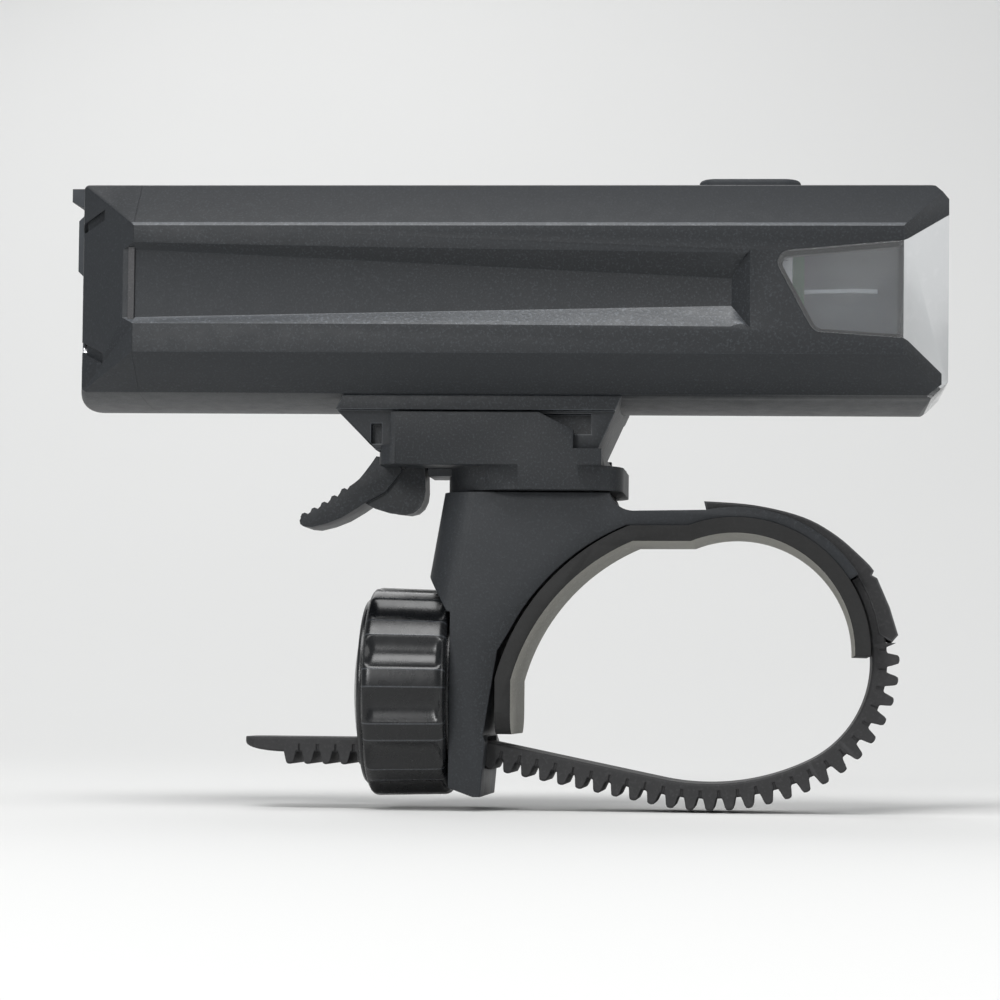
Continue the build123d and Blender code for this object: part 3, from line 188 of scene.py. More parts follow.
class Surface:
    """A node material in the making, with the steps that the finishes share."""

    def __init__(self, name):
        self.material = bpy.data.materials.new(name)
        self.material.use_nodes = True
        self.tree = self.material.node_tree
        self.shader = self.tree.nodes["Principled BSDF"]
        self.place = self.node("ShaderNodeTexCoord").outputs["Object"]

    def node(self, kind, **values):
        """Adds a node. Each value goes to the input of that name, or else to the node's own property."""
        made = self.tree.nodes.new(kind)
        for key, value in values.items():
            if key in made.inputs:
                made.inputs[key].default_value = value
            else:
                setattr(made, key, value)
        return made

    def fix(self, constants):
        """Sets the shader's inputs that are the same all over the surface."""
        for name, value in constants.items():
            self.shader.inputs[name].default_value = value

    def feed(self, name, source):
        """Lets a node's output drive one of the shader's inputs."""
        self.tree.links.new(source, self.shader.inputs[name])

    def noise(self, scale, detail, roughness=0.5, place=None):
        """Noise over the object, or over another place's coordinates."""
        texture = self.node("ShaderNodeTexNoise", Scale=scale, Detail=detail, Roughness=roughness)
        self.tree.links.new(self.place if place is None else place, texture.inputs["Vector"])
        return texture.outputs["Fac"]

    def streaked(self, squeeze):
        """The object's coordinates, squeezed along Z so that a texture runs in streaks."""
        mapping = self.node("ShaderNodeMapping", Scale=(1.0, 1.0, squeeze))
        self.tree.links.new(self.place, mapping.inputs["Vector"])
        return mapping.outputs["Vector"]

    def ranged(self, source, low, high, to_low, to_high):
        """A value carried from one range to another, and held inside it."""
        carried = self.node("ShaderNodeMapRange", clamp=True)
        for key, value in (("From Min", low), ("From Max", high), ("To Min", to_low), ("To Max", to_high)):
            carried.inputs[key].default_value = value
        self.tree.links.new(source, carried.inputs["Value"])
        return carried.outputs["Result"]

    def mixed(self, share, first, second):
        """One colour going over into another. Each is a plain colour or a node's output."""
        blend = self.node("ShaderNodeMix", data_type="RGBA")
        self.tree.links.new(share, blend.inputs["Factor"])
        for key, colour in (("A", first), ("B", second)):
            if isinstance(colour, bpy.types.NodeSocket):
                self.tree.links.new(colour, blend.inputs[key])
            else:
                blend.inputs[key].default_value = (*colour, 1.0)
        return blend.outputs["Result"]

    def raise_by(self, relief, strength, height, rounding=0.0):
        """Raises the surface by a texture, and lets its edges look rounded. Height and rounding in metres."""
        bump = self.node("ShaderNodeBump", Strength=strength, Distance=height)
        self.tree.links.new(relief, bump.inputs["Height"])
        if rounding:
            corner = self.node("ShaderNodeBevel", samples=4, Radius=rounding)
            self.tree.links.new(corner.outputs["Normal"], bump.inputs["Normal"])
        self.feed("Normal", bump.outputs["Normal"])


def moulded(name, colour, roughness, grain, height, speck=0.8, patch=0.05, rounding=0.0, wear=1.6,
            specular=0.35, clearness=0.0):
    """Moulded plastic or rubber: mottled colour, a fine grain with pale specks that are partly painted glints,
    edges painted lighter (partly abrasion, partly a painted highlight) and an uneven gloss.

    The grain's width and height and the rounding are in metres."""
    pale_speck_and_glint, most_wear = 2.8, 0.5
    surface = Surface(name)
    surface.fix({"Specular IOR Level": specular, "Transmission Weight": clearness})
    fine = surface.noise(1 / grain, 3.0, 0.6)
    broad = surface.noise(60.0, 4.0, 0.55)
    dust = surface.noise(420.0, 2.0, 0.7)
    mottled = surface.mixed(broad, shade(colour, 1 - patch), shade(colour, 1 + patch))
    # Pale specks where the grain's noise is high: partly the grain's own tone, partly painted glints.
    grain_and_glint_colour = surface.mixed(surface.ranged(fine, 0.52, 0.75, 0.0, speck), mottled,
                                   shade(colour, pale_speck_and_glint))
    # Edges painted lighter by their pointiness: partly abrasion, partly a painted highlight along the edges.
    ridges = surface.node("ShaderNodeNewGeometry").outputs["Pointiness"]
    worn_and_highlit = surface.mixed(surface.ranged(ridges, 0.53, 0.62, 0.0, most_wear), grain_and_glint_colour,
                         shade(colour, wear))
    surface.feed("Base Color", worn_and_highlit)
    surface.feed("Roughness", surface.ranged(dust, 0.3, 0.7, roughness - 0.03, roughness + 0.04))
    surface.raise_by(fine, 1.0, height, rounding)
    return surface.material


def grained(name, colour, roughness, size=1.0, height=1.0, **detail):
    """A moulded finish whose grain is a share of the grain in the settings."""
    finish = settings().finish
    return moulded(name, colour, roughness, finish.grain_size * size, finish.grain_height * height, **detail)


def shell_plastic():
    """Matte black plastic of the body, bracket and clamp."""
    return grained("moulded black", settings().finish.shell_colour, 0.5, rounding=0.2 * MM)


def rubbed_and_highlit_plastic():
    """The black plastic on the rounded edges, a little paler: partly smoothed by rubbing, partly a painted
    highlight along the edges.
    """
    colour = shade(settings().finish.shell_colour, 2.0)
    return grained("rubbed black", colour, 0.38, height=1 / 2, speck=0.7, patch=0.4, specular=0.5)


def painted_light_plastic():
    """The black plastic painted paler along the crease, a painted highlight, and on the grooves' lower walls,
    which face up: painted light from above.
    """
    colour = shade(settings().finish.shell_colour, 2.6)
    return grained("scuffed black", colour, 0.42, size=1.3, height=2.0, speck=1.0, patch=0.3, specular=0.6)


def knob_plastic():
    """Satin black plastic of the knob and hub cap."""
    return grained("satin black", settings().finish.knob_colour, 0.27, height=1 / 3, speck=0.25,
                   rounding=0.15 * MM, specular=0.5)


def knob_edge_highlight():
    """The knob's plastic on the edges of its grooves and of its cap, painted bright: a painted highlight."""
    colour = shade(settings().finish.knob_colour, 6.0)
    return grained("rubbed satin", colour, 0.26, height=1 / 4, speck=0.5, specular=0.6)


def strap_rubber():
    """Soft dull rubber of the strap."""
    return grained("strap rubber", settings().finish.strap_colour, 0.62, size=1.4, height=1.5, speck=0.35,
                   wear=2.0, rounding=0.12 * MM)


def rubber_worn_and_highlit():
    """The strap's rubber on its rounded edges, a little paler: partly abrasion, partly a painted highlight
    along the edges.
    """
    colour = shade(settings().finish.strap_colour, 2.0)
    return grained("rubber with abraded and highlit edges", colour, 0.5, size=1.4, speck=0.4, specular=0.4)


def pad_rubber():
    """Dark rubber of the pad around the bar."""
    return grained("pad rubber", settings().finish.pad_colour, 0.68, size=1.6, height=1.5, speck=0.3,
                   wear=1.8, rounding=0.2 * MM)


def pad_face_painted_reflection():
    """The pad's face towards the bar, painted pale: a painted reflection of the bright surroundings."""
    return grained("pad rubber with painted reflection", settings().finish.pad_face_reflection_colour, 0.75, size=1.6, height=1.5,
                   speck=0.3, patch=0.3, wear=1.3)


def cover_rubber():
    """Silicone rubber of the port cover and the power button."""
    colour = shade(settings().finish.shell_colour, 1.9)
    return grained("cover rubber", colour, 0.6, speck=0.2, wear=1.7, rounding=0.15 * MM)


def lens_plastic():
    """Clear polycarbonate, a little hazy, with faint flow marks and fine dust."""
    finish = settings().finish
    least_haze, most_haze = finish.lens_haze * 0.6, finish.lens_haze * 1.6
    surface = Surface("lens polycarbonate")
    surface.fix({"Transmission Weight": 0.92, "IOR": 1.49})
    flow = surface.noise(90.0, 3.0, 0.5, surface.streaked(6.0))
    dust = surface.noise(900.0, 2.0, 0.6)
    surface.feed("Roughness", surface.ranged(flow, 0.35, 0.75, least_haze, most_haze))
    surface.feed("Base Color", surface.mixed(dust, finish.lens_colour, shade(finish.lens_colour, 0.9)))
    surface.raise_by(flow, 0.6, 0.03 * MM, 0.2 * MM)
    return surface.material


def lens_rim_painted_highlight():
    """The lens's rounded rim, painted pale and frosted: a painted highlight around the lens."""
    colour = shade(settings().finish.lens_colour, 0.6)
    return grained("lens rim with painted highlight", colour, 0.3, height=1 / 2, speck=0.2, patch=0.1, wear=1.1,
                   specular=0.5, clearness=0.1)


def lens_nose_painted_reflection():
    """The bevels on both sides of the nose, painted pale and barely clear: a painted reflection."""
    colour = shade(settings().finish.lens_colour, 0.58)
    return grained("milky lens bevel", colour, 0.22, size=4.0, height=1 / 3, speck=0.1, patch=0.12,
                   wear=1.05, specular=0.5, clearness=0.12)


def metal(name, colour, roughness, streaks=1.0, scale=300.0):
    """Bare or plated metal with fine machining marks and patches of dulled gloss."""
    smoothest = 0.02
    surface = Surface(name)
    surface.fix({"Metallic": 1.0})
    marks = surface.noise(scale, 4.0, 0.6, surface.streaked(1.0 + 12.0 * streaks))
    surface.feed("Base Color", surface.mixed(marks, shade(colour, 0.8), shade(colour, 1.05)))
    surface.feed("Roughness",
                 surface.ranged(marks, 0.3, 0.7, max(smoothest, roughness * 0.7), roughness * 1.4))
    surface.raise_by(marks, 0.5, 0.005 * MM)
    return surface.material


def board_laminate():
    """Green circuit board with a faint weave and copper traces under its mask."""
    surface = Surface("board laminate")
    surface.fix({"Roughness": 0.35})
    traces = surface.node("ShaderNodeTexBrick", Scale=260.0, Color1=(0.012, 0.085, 0.03, 1),
                          Color2=(0.016, 0.11, 0.038, 1), Mortar=(0.03, 0.16, 0.06, 1))
    traces.inputs["Mortar Size"].default_value = 0.03
    surface.tree.links.new(surface.place, traces.inputs["Vector"])
    weave = surface.noise(1500.0, 2.0)
    surface.feed("Base Color", surface.mixed(weave, traces.outputs["Color"], (0.02, 0.10, 0.035)))
    surface.raise_by(traces.outputs["Fac"], 0.5, 0.02 * MM)
    return surface.material


def floor_paint(colour):
    """Pale matte paint with a very faint mottle."""
    surface = Surface("floor paint")
    surface.fix({"Roughness": 0.9, "Specular IOR Level": 0.1})
    surface.feed("Base Color", surface.mixed(surface.noise(8.0, 3.0), shade(colour, 0.985), colour))
    return surface.material


# Mesh helpers


def make_object(name, mesh):
    """Puts a finished bmesh into a new object in the scene."""
    data = bpy.data.meshes.new(name)
    mesh.normal_update()
    mesh.to_mesh(data)
    mesh.free()
    piece = bpy.data.objects.new(name, data)
    bpy.context.scene.collection.objects.link(piece)
    return piece


def smooth_shading(piece, angle=30):
    """Smooth shading up to the given angle between faces, in degrees."""
    data = piece.data
    data.polygons.foreach_set("use_smooth", [True] * len(data.polygons))
    data.set_sharp_from_angle(angle=math.radians(angle))
    data.update()


def paint(piece, *materials):
    """Gives a piece its materials in place of any old ones. Each face keeps its index."""
    data = piece.data
    indices = [face.material_index for face in data.polygons]
    data.materials.clear()
    for material in materials:
        data.materials.append(material)
    data.polygons.foreach_set("material_index", indices)


def finish_piece(piece, body, node):
    """Lets a piece ride on its body in place of a CAD node, which it hides."""
    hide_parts(node)
    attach(piece, body)


def round_edges(mesh, edges, width, steps=3):
    """Rounds edges over by a width in millimetres. The new faces take the piece's second finish."""
    rounded = bmesh.ops.bevel(mesh, geom=edges, offset=width * MM, offset_type="OFFSET", segments=steps,
                              profile=0.5, affect="EDGES", clamp_overlap=True)
    for face in rounded["faces"]:
        face.material_index = 1


def moulding(name, node, width, steps=3, plain_at=None):
    """A mesh over a CAD node, its flat faces whole again and its sharp edges rounded over by a width.

    Edges across X at plain_at, where two pieces meet, stay sharp."""
    weld, level, sharp = 0.002 * MM, math.radians(0.5), math.radians(28)
    shortest, seam = 2.2 * width * MM, 0.05 * MM
    mesh = bmesh.new()
    mesh.from_mesh(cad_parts[node].data)
    bmesh.ops.remove_doubles(mesh, verts=mesh.verts, dist=weld)
    bmesh.ops.dissolve_limit(mesh, angle_limit=level, verts=mesh.verts, edges=mesh.edges)
    mesh.normal_update()
    edges = [edge for edge in mesh.edges if len(edge.link_faces) == 2
             and edge.calc_length() >= shortest and edge.calc_face_angle(0) >= sharp]
    if plain_at is not None:
        edges = [edge for edge in edges
                 if any(abs(vert.co.x - plain_at * MM) >= seam for vert in edge.verts)]
    round_edges(mesh, edges, width, steps)
    piece = make_object(name, mesh)
    smooth_shading(piece, angle=32)
    return piece


def turned(name, profile, axis_height, columns, groove):
    """A piece turned about an axis along X, from a closed profile of (x, radius) in millimetres.

    Each column is (angle, finish), and groove(x, angle) gives how far the surface is cut in there."""
    mesh = bmesh.new()
    rings = []
    for x, radius in profile:
        ring = []
        for angle, _ in columns:
            reach = radius - groove(x, angle)
            ring.append(mesh.verts.new((x * MM, reach * math.cos(angle) * MM,
                                        (axis_height + reach * math.sin(angle)) * MM)))
        rings.append(ring)
    for first, second in zip(rings, rings[1:]):
        for step, (_, finish) in enumerate(columns):
            after = (step + 1) % len(columns)
            face = mesh.faces.new((first[step], first[after], second[after], second[step]))
            face.material_index = finish
    bmesh.ops.remove_doubles(mesh, verts=mesh.verts, dist=0.001 * MM)
    bmesh.ops.recalc_face_normals(mesh, faces=mesh.faces)
    return make_object(name, mesh)


def pressed(mesh, outline, width, rounding):
    """Adds a plate to a mesh: an outline in X and Z drawn across Y, its rim rounded, in millimetres."""
    start = len(mesh.faces)
    sides = [[mesh.verts.new((x * MM, side * width / 2 * MM, z * MM)) for x, z in outline]
             for side in (-1, 1)]
    caps = [mesh.faces.new(sides[0]), mesh.faces.new(sides[1])]
    for step in range(len(outline)):
        after = (step + 1) % len(outline)
        mesh.faces.new((sides[0][step], sides[0][after], sides[1][after], sides[1][step]))
    mesh.faces.ensure_lookup_table()
    bmesh.ops.recalc_face_normals(mesh, faces=mesh.faces[start:])
    round_edges(mesh, list({edge for cap in caps for edge in cap.edges}), rounding)


def curve_through(points, steps):
    """A smooth line through the given points, with steps to each span."""
    line = []
    for index in range(len(points) - 1):
        before, first = Vector(points[max(index - 1, 0)]), Vector(points[index])
        second, after = Vector(points[index + 1]), Vector(points[min(index + 2, len(points) - 1)])
        for step in range(steps):
            t = step / steps
            line.append(0.5 * (2 * first + (second - before) * t
                               + (2 * before - 5 * first + 4 * second - after) * t * t
                               + (3 * first - before - 3 * second + after) * t ** 3))
    return line + [Vector(points[-1])]


def towards(angle):
    """The unit direction in X and Z at an angle from +X, in degrees."""
    return Vector((math.cos(math.radians(angle)), math.sin(math.radians(angle))))


def quarter_turn(steps, first=0):
    """The angles of a quarter turn in equal steps, from the numbered step on."""
    return [math.pi / 2 * step / steps for step in range(first, steps + 1)]


def tooth_height(along, strap):
    """How far a tooth stands out at a distance along the strap from a tooth's middle, and its score's depth."""
    crest, flank, gap = 0.34, 0.4, 0.9
    crown, shoulder = 0.6, 0.93
    away = abs((along / strap.pitch + 0.5) % 1.0 - 0.5) * 2
    if away < crest:
        height = strap.tooth * (1 - crown * away * away)
    else:
        fall = min(1.0, (away - crest) / flank)
        height = strap.tooth * shoulder * (1 - fall * fall * (3 - 2 * fall))
    return height, strap.score if away > gap else 0.0


Station = namedtuple("Station", "place outward thickness score share")


def ribbon(mesh, stations, width):
    """Adds a strap to a mesh from its stations. A station's share is how much of the width it has.

    The cross section has rounded edges, and a score cuts its sides in between the teeth."""
    rounding, deepest, bevel = 0.25, 0.9, 0.05
    rings = []
    for place, outward, thickness, score, share in stations:
        reach = width / 2 * share
        rim = min(rounding, thickness / 3)
        nick = min(deepest, thickness * 0.45)
        side = [(reach - rim, 0.0), (reach, rim), (reach, nick), (reach - score, nick + 2 * bevel),
                (reach - score, max(thickness - rim, nick + 3 * bevel)),
                (reach - rim - score, max(thickness, nick + 4 * bevel))]
        outline = [(-y, rise) for y, rise in side] + [(y, rise) for y, rise in reversed(side)]
        rings.append([mesh.verts.new(((place.x + outward.x * rise) * MM, y * MM,
                                      (place.y + outward.y * rise) * MM)) for y, rise in outline])
    faces = []
    for first, second in zip(rings, rings[1:]):
        for step in range(len(first)):
            after = (step + 1) % len(first)
            faces.append(mesh.faces.new((first[step], first[after], second[after], second[step])))
    faces += [mesh.faces.new(rings[0]), mesh.faces.new(rings[-1])]
    bmesh.ops.recalc_face_normals(mesh, faces=faces)


# The pieces


class HEADLIGHT_OT_body(bpy.types.Operator):
    """Makes the housing and the rear cap"""

    bl_idname = "headlight.body"
    bl_label = "Light body"

    def execute(self, context):
        cap_seam, painted_light = -80.0, 2
        finishes = shell_plastic(), rubbed_and_highlit_plastic(), painted_light_plastic()
        for name, node, slot in (("body_shell", "housing", "housing_black"),
                                 ("body_cap", "rear_cap", "cap_black")):
            piece = moulding(name, node, settings().finish.edge_rounding / MM, plain_at=cap_seam)
            # The crease gets a painted highlight, and the upward-facing lower walls of the grooves get painted
            # light.
            for face in piece.data.polygons:
                if self.on_crease(face) or self.on_groove_wall(face):
                    face.material_index = painted_light
            paint(piece, *finishes)
            finish_piece(piece, "light", node)
        return {"FINISHED"}

    @staticmethod
    def on_crease(face):
        """Whether a face lies on the crease between the side and the upper chamfer."""
        side, low, high = 17.1, 55.6, 56.5
        return abs(face.center.y) / MM > side and low < face.center.z / MM < high

    @staticmethod
    def on_groove_wall(face):
        """Whether a face lies on the lower wall of a side groove."""
        side, low, high, lean = 15.2, 41.8, 46.0, 0.3
        outside = abs(face.center.y) / MM > side
        return outside and low < face.center.z / MM < high and face.normal.z > lean


class HEADLIGHT_OT_lens(bpy.types.Operator):
    """Makes the clear lens with its two side ears"""

    bl_idname = "headlight.lens"
    bl_label = "Lens"

    def execute(self, context):
        painted_reflection, forward, sideways = 2, 0.2, 0.3
        piece = moulding("clear_lens", "lens", width=0.22, steps=2)
        # Faces of the nose's bevels, turned forward and sideways, get the third finish: a painted reflection.
        for face in piece.data.polygons:
            if face.normal.x > forward and abs(face.normal.y) > sideways:
                face.material_index = painted_reflection
        paint(piece, lens_plastic(), lens_rim_painted_highlight(), lens_nose_painted_reflection())
        finish_piece(piece, "light", "lens")
        return {"FINISHED"}


class HEADLIGHT_OT_button(bpy.types.Operator):
    """Makes the power button"""

    bl_idname = "headlight.button"
    bl_label = "Power button"

    def execute(self, context):
        piece = moulding("button_pad", "power_button", width=0.15)
        paint(piece, cover_rubber(), rubbed_and_highlit_plastic())
        finish_piece(piece, "button", "power_button")
        return {"FINISHED"}


class HEADLIGHT_OT_port_cover(bpy.types.Operator):
    """Makes the rubber cover of the charging port"""

    bl_idname = "headlight.port_cover"
    bl_label = "Port cover"

    def execute(self, context):
        piece = moulding("port_flap", "port_cover", width=0.25)
        paint(piece, cover_rubber(), rubbed_and_highlit_plastic())
        finish_piece(piece, "flap", "port_cover")
        return {"FINISHED"}


class HEADLIGHT_OT_bracket(bpy.types.Operator):
    """Makes the rail shoe, the bracket and the release lever"""

    bl_idname = "headlight.bracket"
    bl_label = "Shoe, bracket and lever"

    def execute(self, context):
        finishes = shell_plastic(), rubbed_and_highlit_plastic()
        rail = moulding("rail", "rail_shoe", width=0.25)
        block = moulding("bracket", "bracket_block", width=0.3)
        for piece, body, node in ((rail, "light", "rail_shoe"), (block, "bracket", "bracket_block"),
                                  (self.make_lever(), "lever", "release_lever")):
            paint(piece, *finishes)
            finish_piece(piece, body, node)
        return {"FINISHED"}

    def make_lever(self):
        """The lever: a ridged tongue to the rear and a narrower leaf below its pivot."""
        tongue_width, leaf_width, rounding = 9.4, 8.0, 0.3
        back = [(-49.0, 26.3), (-49.9, 25.0), (-51.3, 23.2), (-52.6, 22.2)]
        tip = [(-59.1, 18.1), (-59.4, 17.5), (-59.3, 17.0), (-58.9, 16.7), (-57.7, 16.6)]
        under = [(-55.7, 17.1), (-53.7, 17.9), (-51.7, 19.1), (-50.4, 20.0), (-47.7, 21.5), (-45.6, 24.2),
                 (-45.4, 26.1), (-47.4, 26.1)]
        leaf = [(-48.3, 24.6), (-50.3, 20.15), (-49.0, 19.45), (-47.0, 18.85), (-45.0, 18.65),
                (-44.0, 18.9), (-43.2, 19.6), (-42.75, 20.6), (-42.6, 21.7), (-42.7, 25.0),
                (-43.5, 25.6), (-48.0, 25.4)]
        mesh = bmesh.new()
        pressed(mesh, curve_through(back, 3) + self.thumb_ridges() + tip + under, tongue_width, rounding)
        pressed(mesh, leaf, leaf_width, rounding)
        lever = make_object("lever", mesh)
        smooth_shading(lever, angle=38)
        return lever

    @staticmethod
    def thumb_ridges():
        """The outline of the ridges down the tongue's back, which slopes less towards its tip."""
        count, first_x, first_z, pitch, fall, ease = 5, -53.3, 21.75, 1.35, 0.98, 0.09
        ridge = ((0.35, -0.05), (0.0, 0.2), (-0.4, 0.05), (-0.6, -0.45))
        outline = []
        for step in range(count):
            x = first_x - pitch * step
            z = first_z - fall * step + ease * step * (step - 1) / 2
            outline += [(x + across, z + rise) for across, rise in ridge]
        return outline


class HEADLIGHT_OT_clamp(bpy.types.Operator):
    """Makes the clamp and the rubber pad that lies around the bar"""

    bl_idname = "headlight.clamp"
    bl_label = "Clamp and pad"

    def execute(self, context):
        lip_top, lip_rear, draw_back = -11.8, -33.6, 1.3
        base = moulding("clamp", "clamp_base", width=0.4)
        for vert in base.data.vertices:
            if vert.co.z < lip_top * MM and vert.co.x > lip_rear * MM:
                vert.co.x -= draw_back * MM
        paint(base, shell_plastic(), rubbed_and_highlit_plastic())
        finish_piece(base, "clamp", "clamp_base")

        # Faces towards the bar get the second finish: a painted reflection.
        pale = 1
        pad = moulding("grip_pad", "bar_pad", width=0.5)
        for face in pad.data.polygons:
            to_bar = -Vector((face.center.x, 0, face.center.z)).normalized()
            face.material_index = pale if face.normal.dot(to_bar) > 0.5 else 0
        paint(pad, pad_rubber(), pad_face_painted_reflection())
        finish_piece(pad, "clamp", "bar_pad")
        return {"FINISHED"}


class HEADLIGHT_OT_strap(bpy.types.Operator):
    """Makes the toothed strap: the loop around the bar and the tail behind the knob"""

    bl_idname = "headlight.strap"
    bl_label = "Strap"

    spacing = 0.15
    split = -36.0
    back_height = -11.9

    def execute(self, context):
        strap = in_millimetres(settings().strap)
        loop, tail = bmesh.new(), bmesh.new()
        ribbon(loop, self.loop_stations(strap), strap.width)
        pressed(loop, self.band_outline(), strap.width, rounding=0.25)
        ribbon(tail, self.tail_stations(strap), strap.width)
        for name, mesh, node, body in (("strap", loop, "strap_loop", "clamp"),
                                       ("strap_end", tail, "strap_tail", "tail")):
            piece = make_object(name, mesh)
            smooth_shading(piece, angle=38)
            paint(piece, strap_rubber(), rubber_worn_and_highlit())
            finish_piece(piece, body, node)
        return {"FINISHED"}

    def loop_route(self):
        """Places and outward directions along the loop's back: from the hub, under the bar, up to the band."""
        hub_front, meeting, lowest, upright = -34.9, -64.0, -101.4, 11.0
        side, side_radius, low_radius = Vector((3.38, -1.02)), 14.93, 31.0
        band_radius, band_start, band_stop = 18.2, 6.5, 32.4
        low = side + (side_radius - low_radius) * towards(meeting)
        corners = [Vector((self.split, self.back_height)), Vector((hub_front, self.back_height)),
                   low + low_radius * towards(lowest)]
        route = []
        for first, second in zip(corners, corners[1:]):
            along = (second - first).normalized()
            outward = Vector((along.y, -along.x))
            steps = max(2, round((second - first).length / self.spacing))
            route += [(first.lerp(second, step / steps), outward) for step in range(steps)]
        for centre, radius, start, stop in ((low, low_radius, lowest, meeting),
                                            (side, side_radius, meeting, upright),
                                            (Vector((0.0, 0.0)), band_radius, band_start, band_stop)):
            steps = round(radius * math.radians(stop - start) / self.spacing)
            for step in range(steps + 1):
                outward = towards(start + (stop - start) * step / steps)
                route.append((centre + radius * outward, outward))
        return route

    def loop_stations(self, strap):
        """Cross sections along the loop. Its teeth are spaced along the middle of the strap's thickness."""
        first_tooth, toothed_from, band_x, band_z, band_share = 3.9, -33.6, 12.0, 1.2, 0.985
        apart = 0.001
        route = self.loop_route()
        stations, along = [], 0.0
        for index, (place, outward) in enumerate(route):
            if index:
                before, old_outward = route[index - 1]
                length = (place - before).length
                bend = (outward - old_outward).length / length if length > apart else 0.0
                along += length * (1 + 0.5 * strap.thickness * bend)
            height, score = tooth_height(along - first_tooth, strap)
            on_band = place.x > band_x and place.y > band_z
            if on_band or place.x <= toothed_from:
                height = score = 0.0
            stations.append(Station(place, outward, strap.thickness + height, score,
                                    band_share if on_band else 1.0))
        return stations

    def tail_stations(self, strap):
        """Cross sections along the tail, from its rounded and thinned tip to the split inside the hub."""
        tip, toothed_after, tooth_middle = -66.5, 5.6, -60.1
        corner, thinned, thinnest = 2.4, 6.0, 0.28
        half = strap.width / 2
        stations = []
        steps = round((self.split - tip) / self.spacing)
        for step in range(steps + 1):
            x = tip + (self.split - tip) * step / steps
            away = x - tip
            thickness, share = strap.thickness, 1.0
            if away < thinned:
                thickness *= thinnest + (1 - thinnest) * math.sqrt(max(0.0, 1 - (1 - away / thinned) ** 2))
            if away < corner:
                gone = corner - math.sqrt(max(0.0, corner ** 2 - (corner - away) ** 2))
                share = (half - gone) / half
            height, score = tooth_height(x - tooth_middle, strap)
            if away <= toothed_after:
                height = score = 0.0
            stations.append(Station(Vector((x, self.back_height)), Vector((0, -1)), thickness + height,
                                    score, share))
        return stations

    def band_outline(self):
        """The band over the arm, down to the hook that the loop hangs from."""
        heel_radius, arm_radius = 19.3, 19.38
        over = [(-4.4, 20.4), (2.4, 19.9), (8.9, 18.35), (13.4, 15.9), (17.0, 12.8)]
        hook = [(17.9, 11.9), (18.45, 11.2), (18.2, 10.6), (18.9, 10.2), (20.6, 6.3), (21.75, 2.6),
                (20.9, 1.6)]
        heel = [heel_radius * towards(angle) for angle in (8.0, 16.0, 24.0, 32.7)]
        on_arm = [arm_radius * towards(angle) for angle in range(36, 103, 6)]
        return curve_through(over, 5) + hook + heel + on_arm


class HEADLIGHT_OT_knob(bpy.types.Operator):
    """Makes the grooved knob and the cap on its hub"""

    bl_idname = "headlight.knob"
    bl_label = "Knob and hub cap"

    back = -49.5
    front = -38.4

    def execute(self, context):
        satin, rubbed_and_highlit = knob_plastic(), knob_edge_highlight()
        ring = self.make_ring(settings().knob)
        paint(ring, satin, rubbed_and_highlit)
        finish_piece(ring, "knob", "thumb_nut")
        cap = moulding("hub_button", "hub_cap", width=0.2)
        paint(cap, satin, rubbed_and_highlit)
        finish_piece(cap, "clamp", "hub_cap")
        return {"FINISHED"}

    def make_ring(self, knob):
        """The knob's ring, with grip grooves that run out before both of its ends."""
        axis_height, groove_steps, land_steps, lip = -5.6, 14, 4, math.radians(0.8)
        back_margin, back_run, front_margin, front_run = 0.4, 1.0, 0.5, 0.7
        pitch = math.tau / knob.lobes
        half = pitch * knob.groove_share / 2
        land = pitch - 2 * half - 2 * lip
        columns = []
        for lobe in range(knob.lobes):
            middle = knob.lobe_turn + lobe * pitch
            columns += [(middle - half + 2 * half * step / groove_steps, 0) for step in range(groove_steps)]
            # The narrow strips at each groove's edges get the second finish: a painted highlight.
            columns += [(middle + half, 1)]
            columns += [(middle + half + lip + land * step / land_steps, 0) for step in range(land_steps)]
            columns += [(middle + pitch - half - lip, 1)]

        def groove(x, angle):
            away = abs((angle - knob.lobe_turn + pitch / 2) % pitch - pitch / 2)
            if away >= half:
                return 0.0
            run_out = min(1.0, max(0.0, (self.front - front_margin - x) / front_run),
                          max(0.0, (x - self.back - back_margin) / back_run))
            return knob.groove_depth / MM * math.sin(math.pi / 2 * run_out) * (1 - (away / half) ** 2)

        ring = turned("knob_ring", self.ring_profile(), axis_height, columns, groove)
        smooth_shading(ring, angle=40)
        return ring

    def ring_profile(self):
        """The ring's section: a rounded rim at both ends and a wall that tapers to the front."""
        radius, bore, rim, taper, rim_steps, wall_steps = 14.2, 12.0, 1.0, 0.25, 5, 24
        wall = self.front - self.back - 2 * rim
        profile = [(self.back, bore), (self.back, radius - rim)]
        profile += [(self.back + rim - rim * math.cos(turn), radius - rim + rim * math.sin(turn))
                    for turn in quarter_turn(rim_steps, 1)]
        profile += [(self.back + rim + wall * step / wall_steps, radius - taper * step / wall_steps)
                    for step in range(1, wall_steps)]
        profile += [(self.front - rim + rim * math.sin(turn), radius - taper - rim + rim * math.cos(turn))
                    for turn in quarter_turn(rim_steps)]
        return profile + [(self.front, bore), (self.back, bore)]


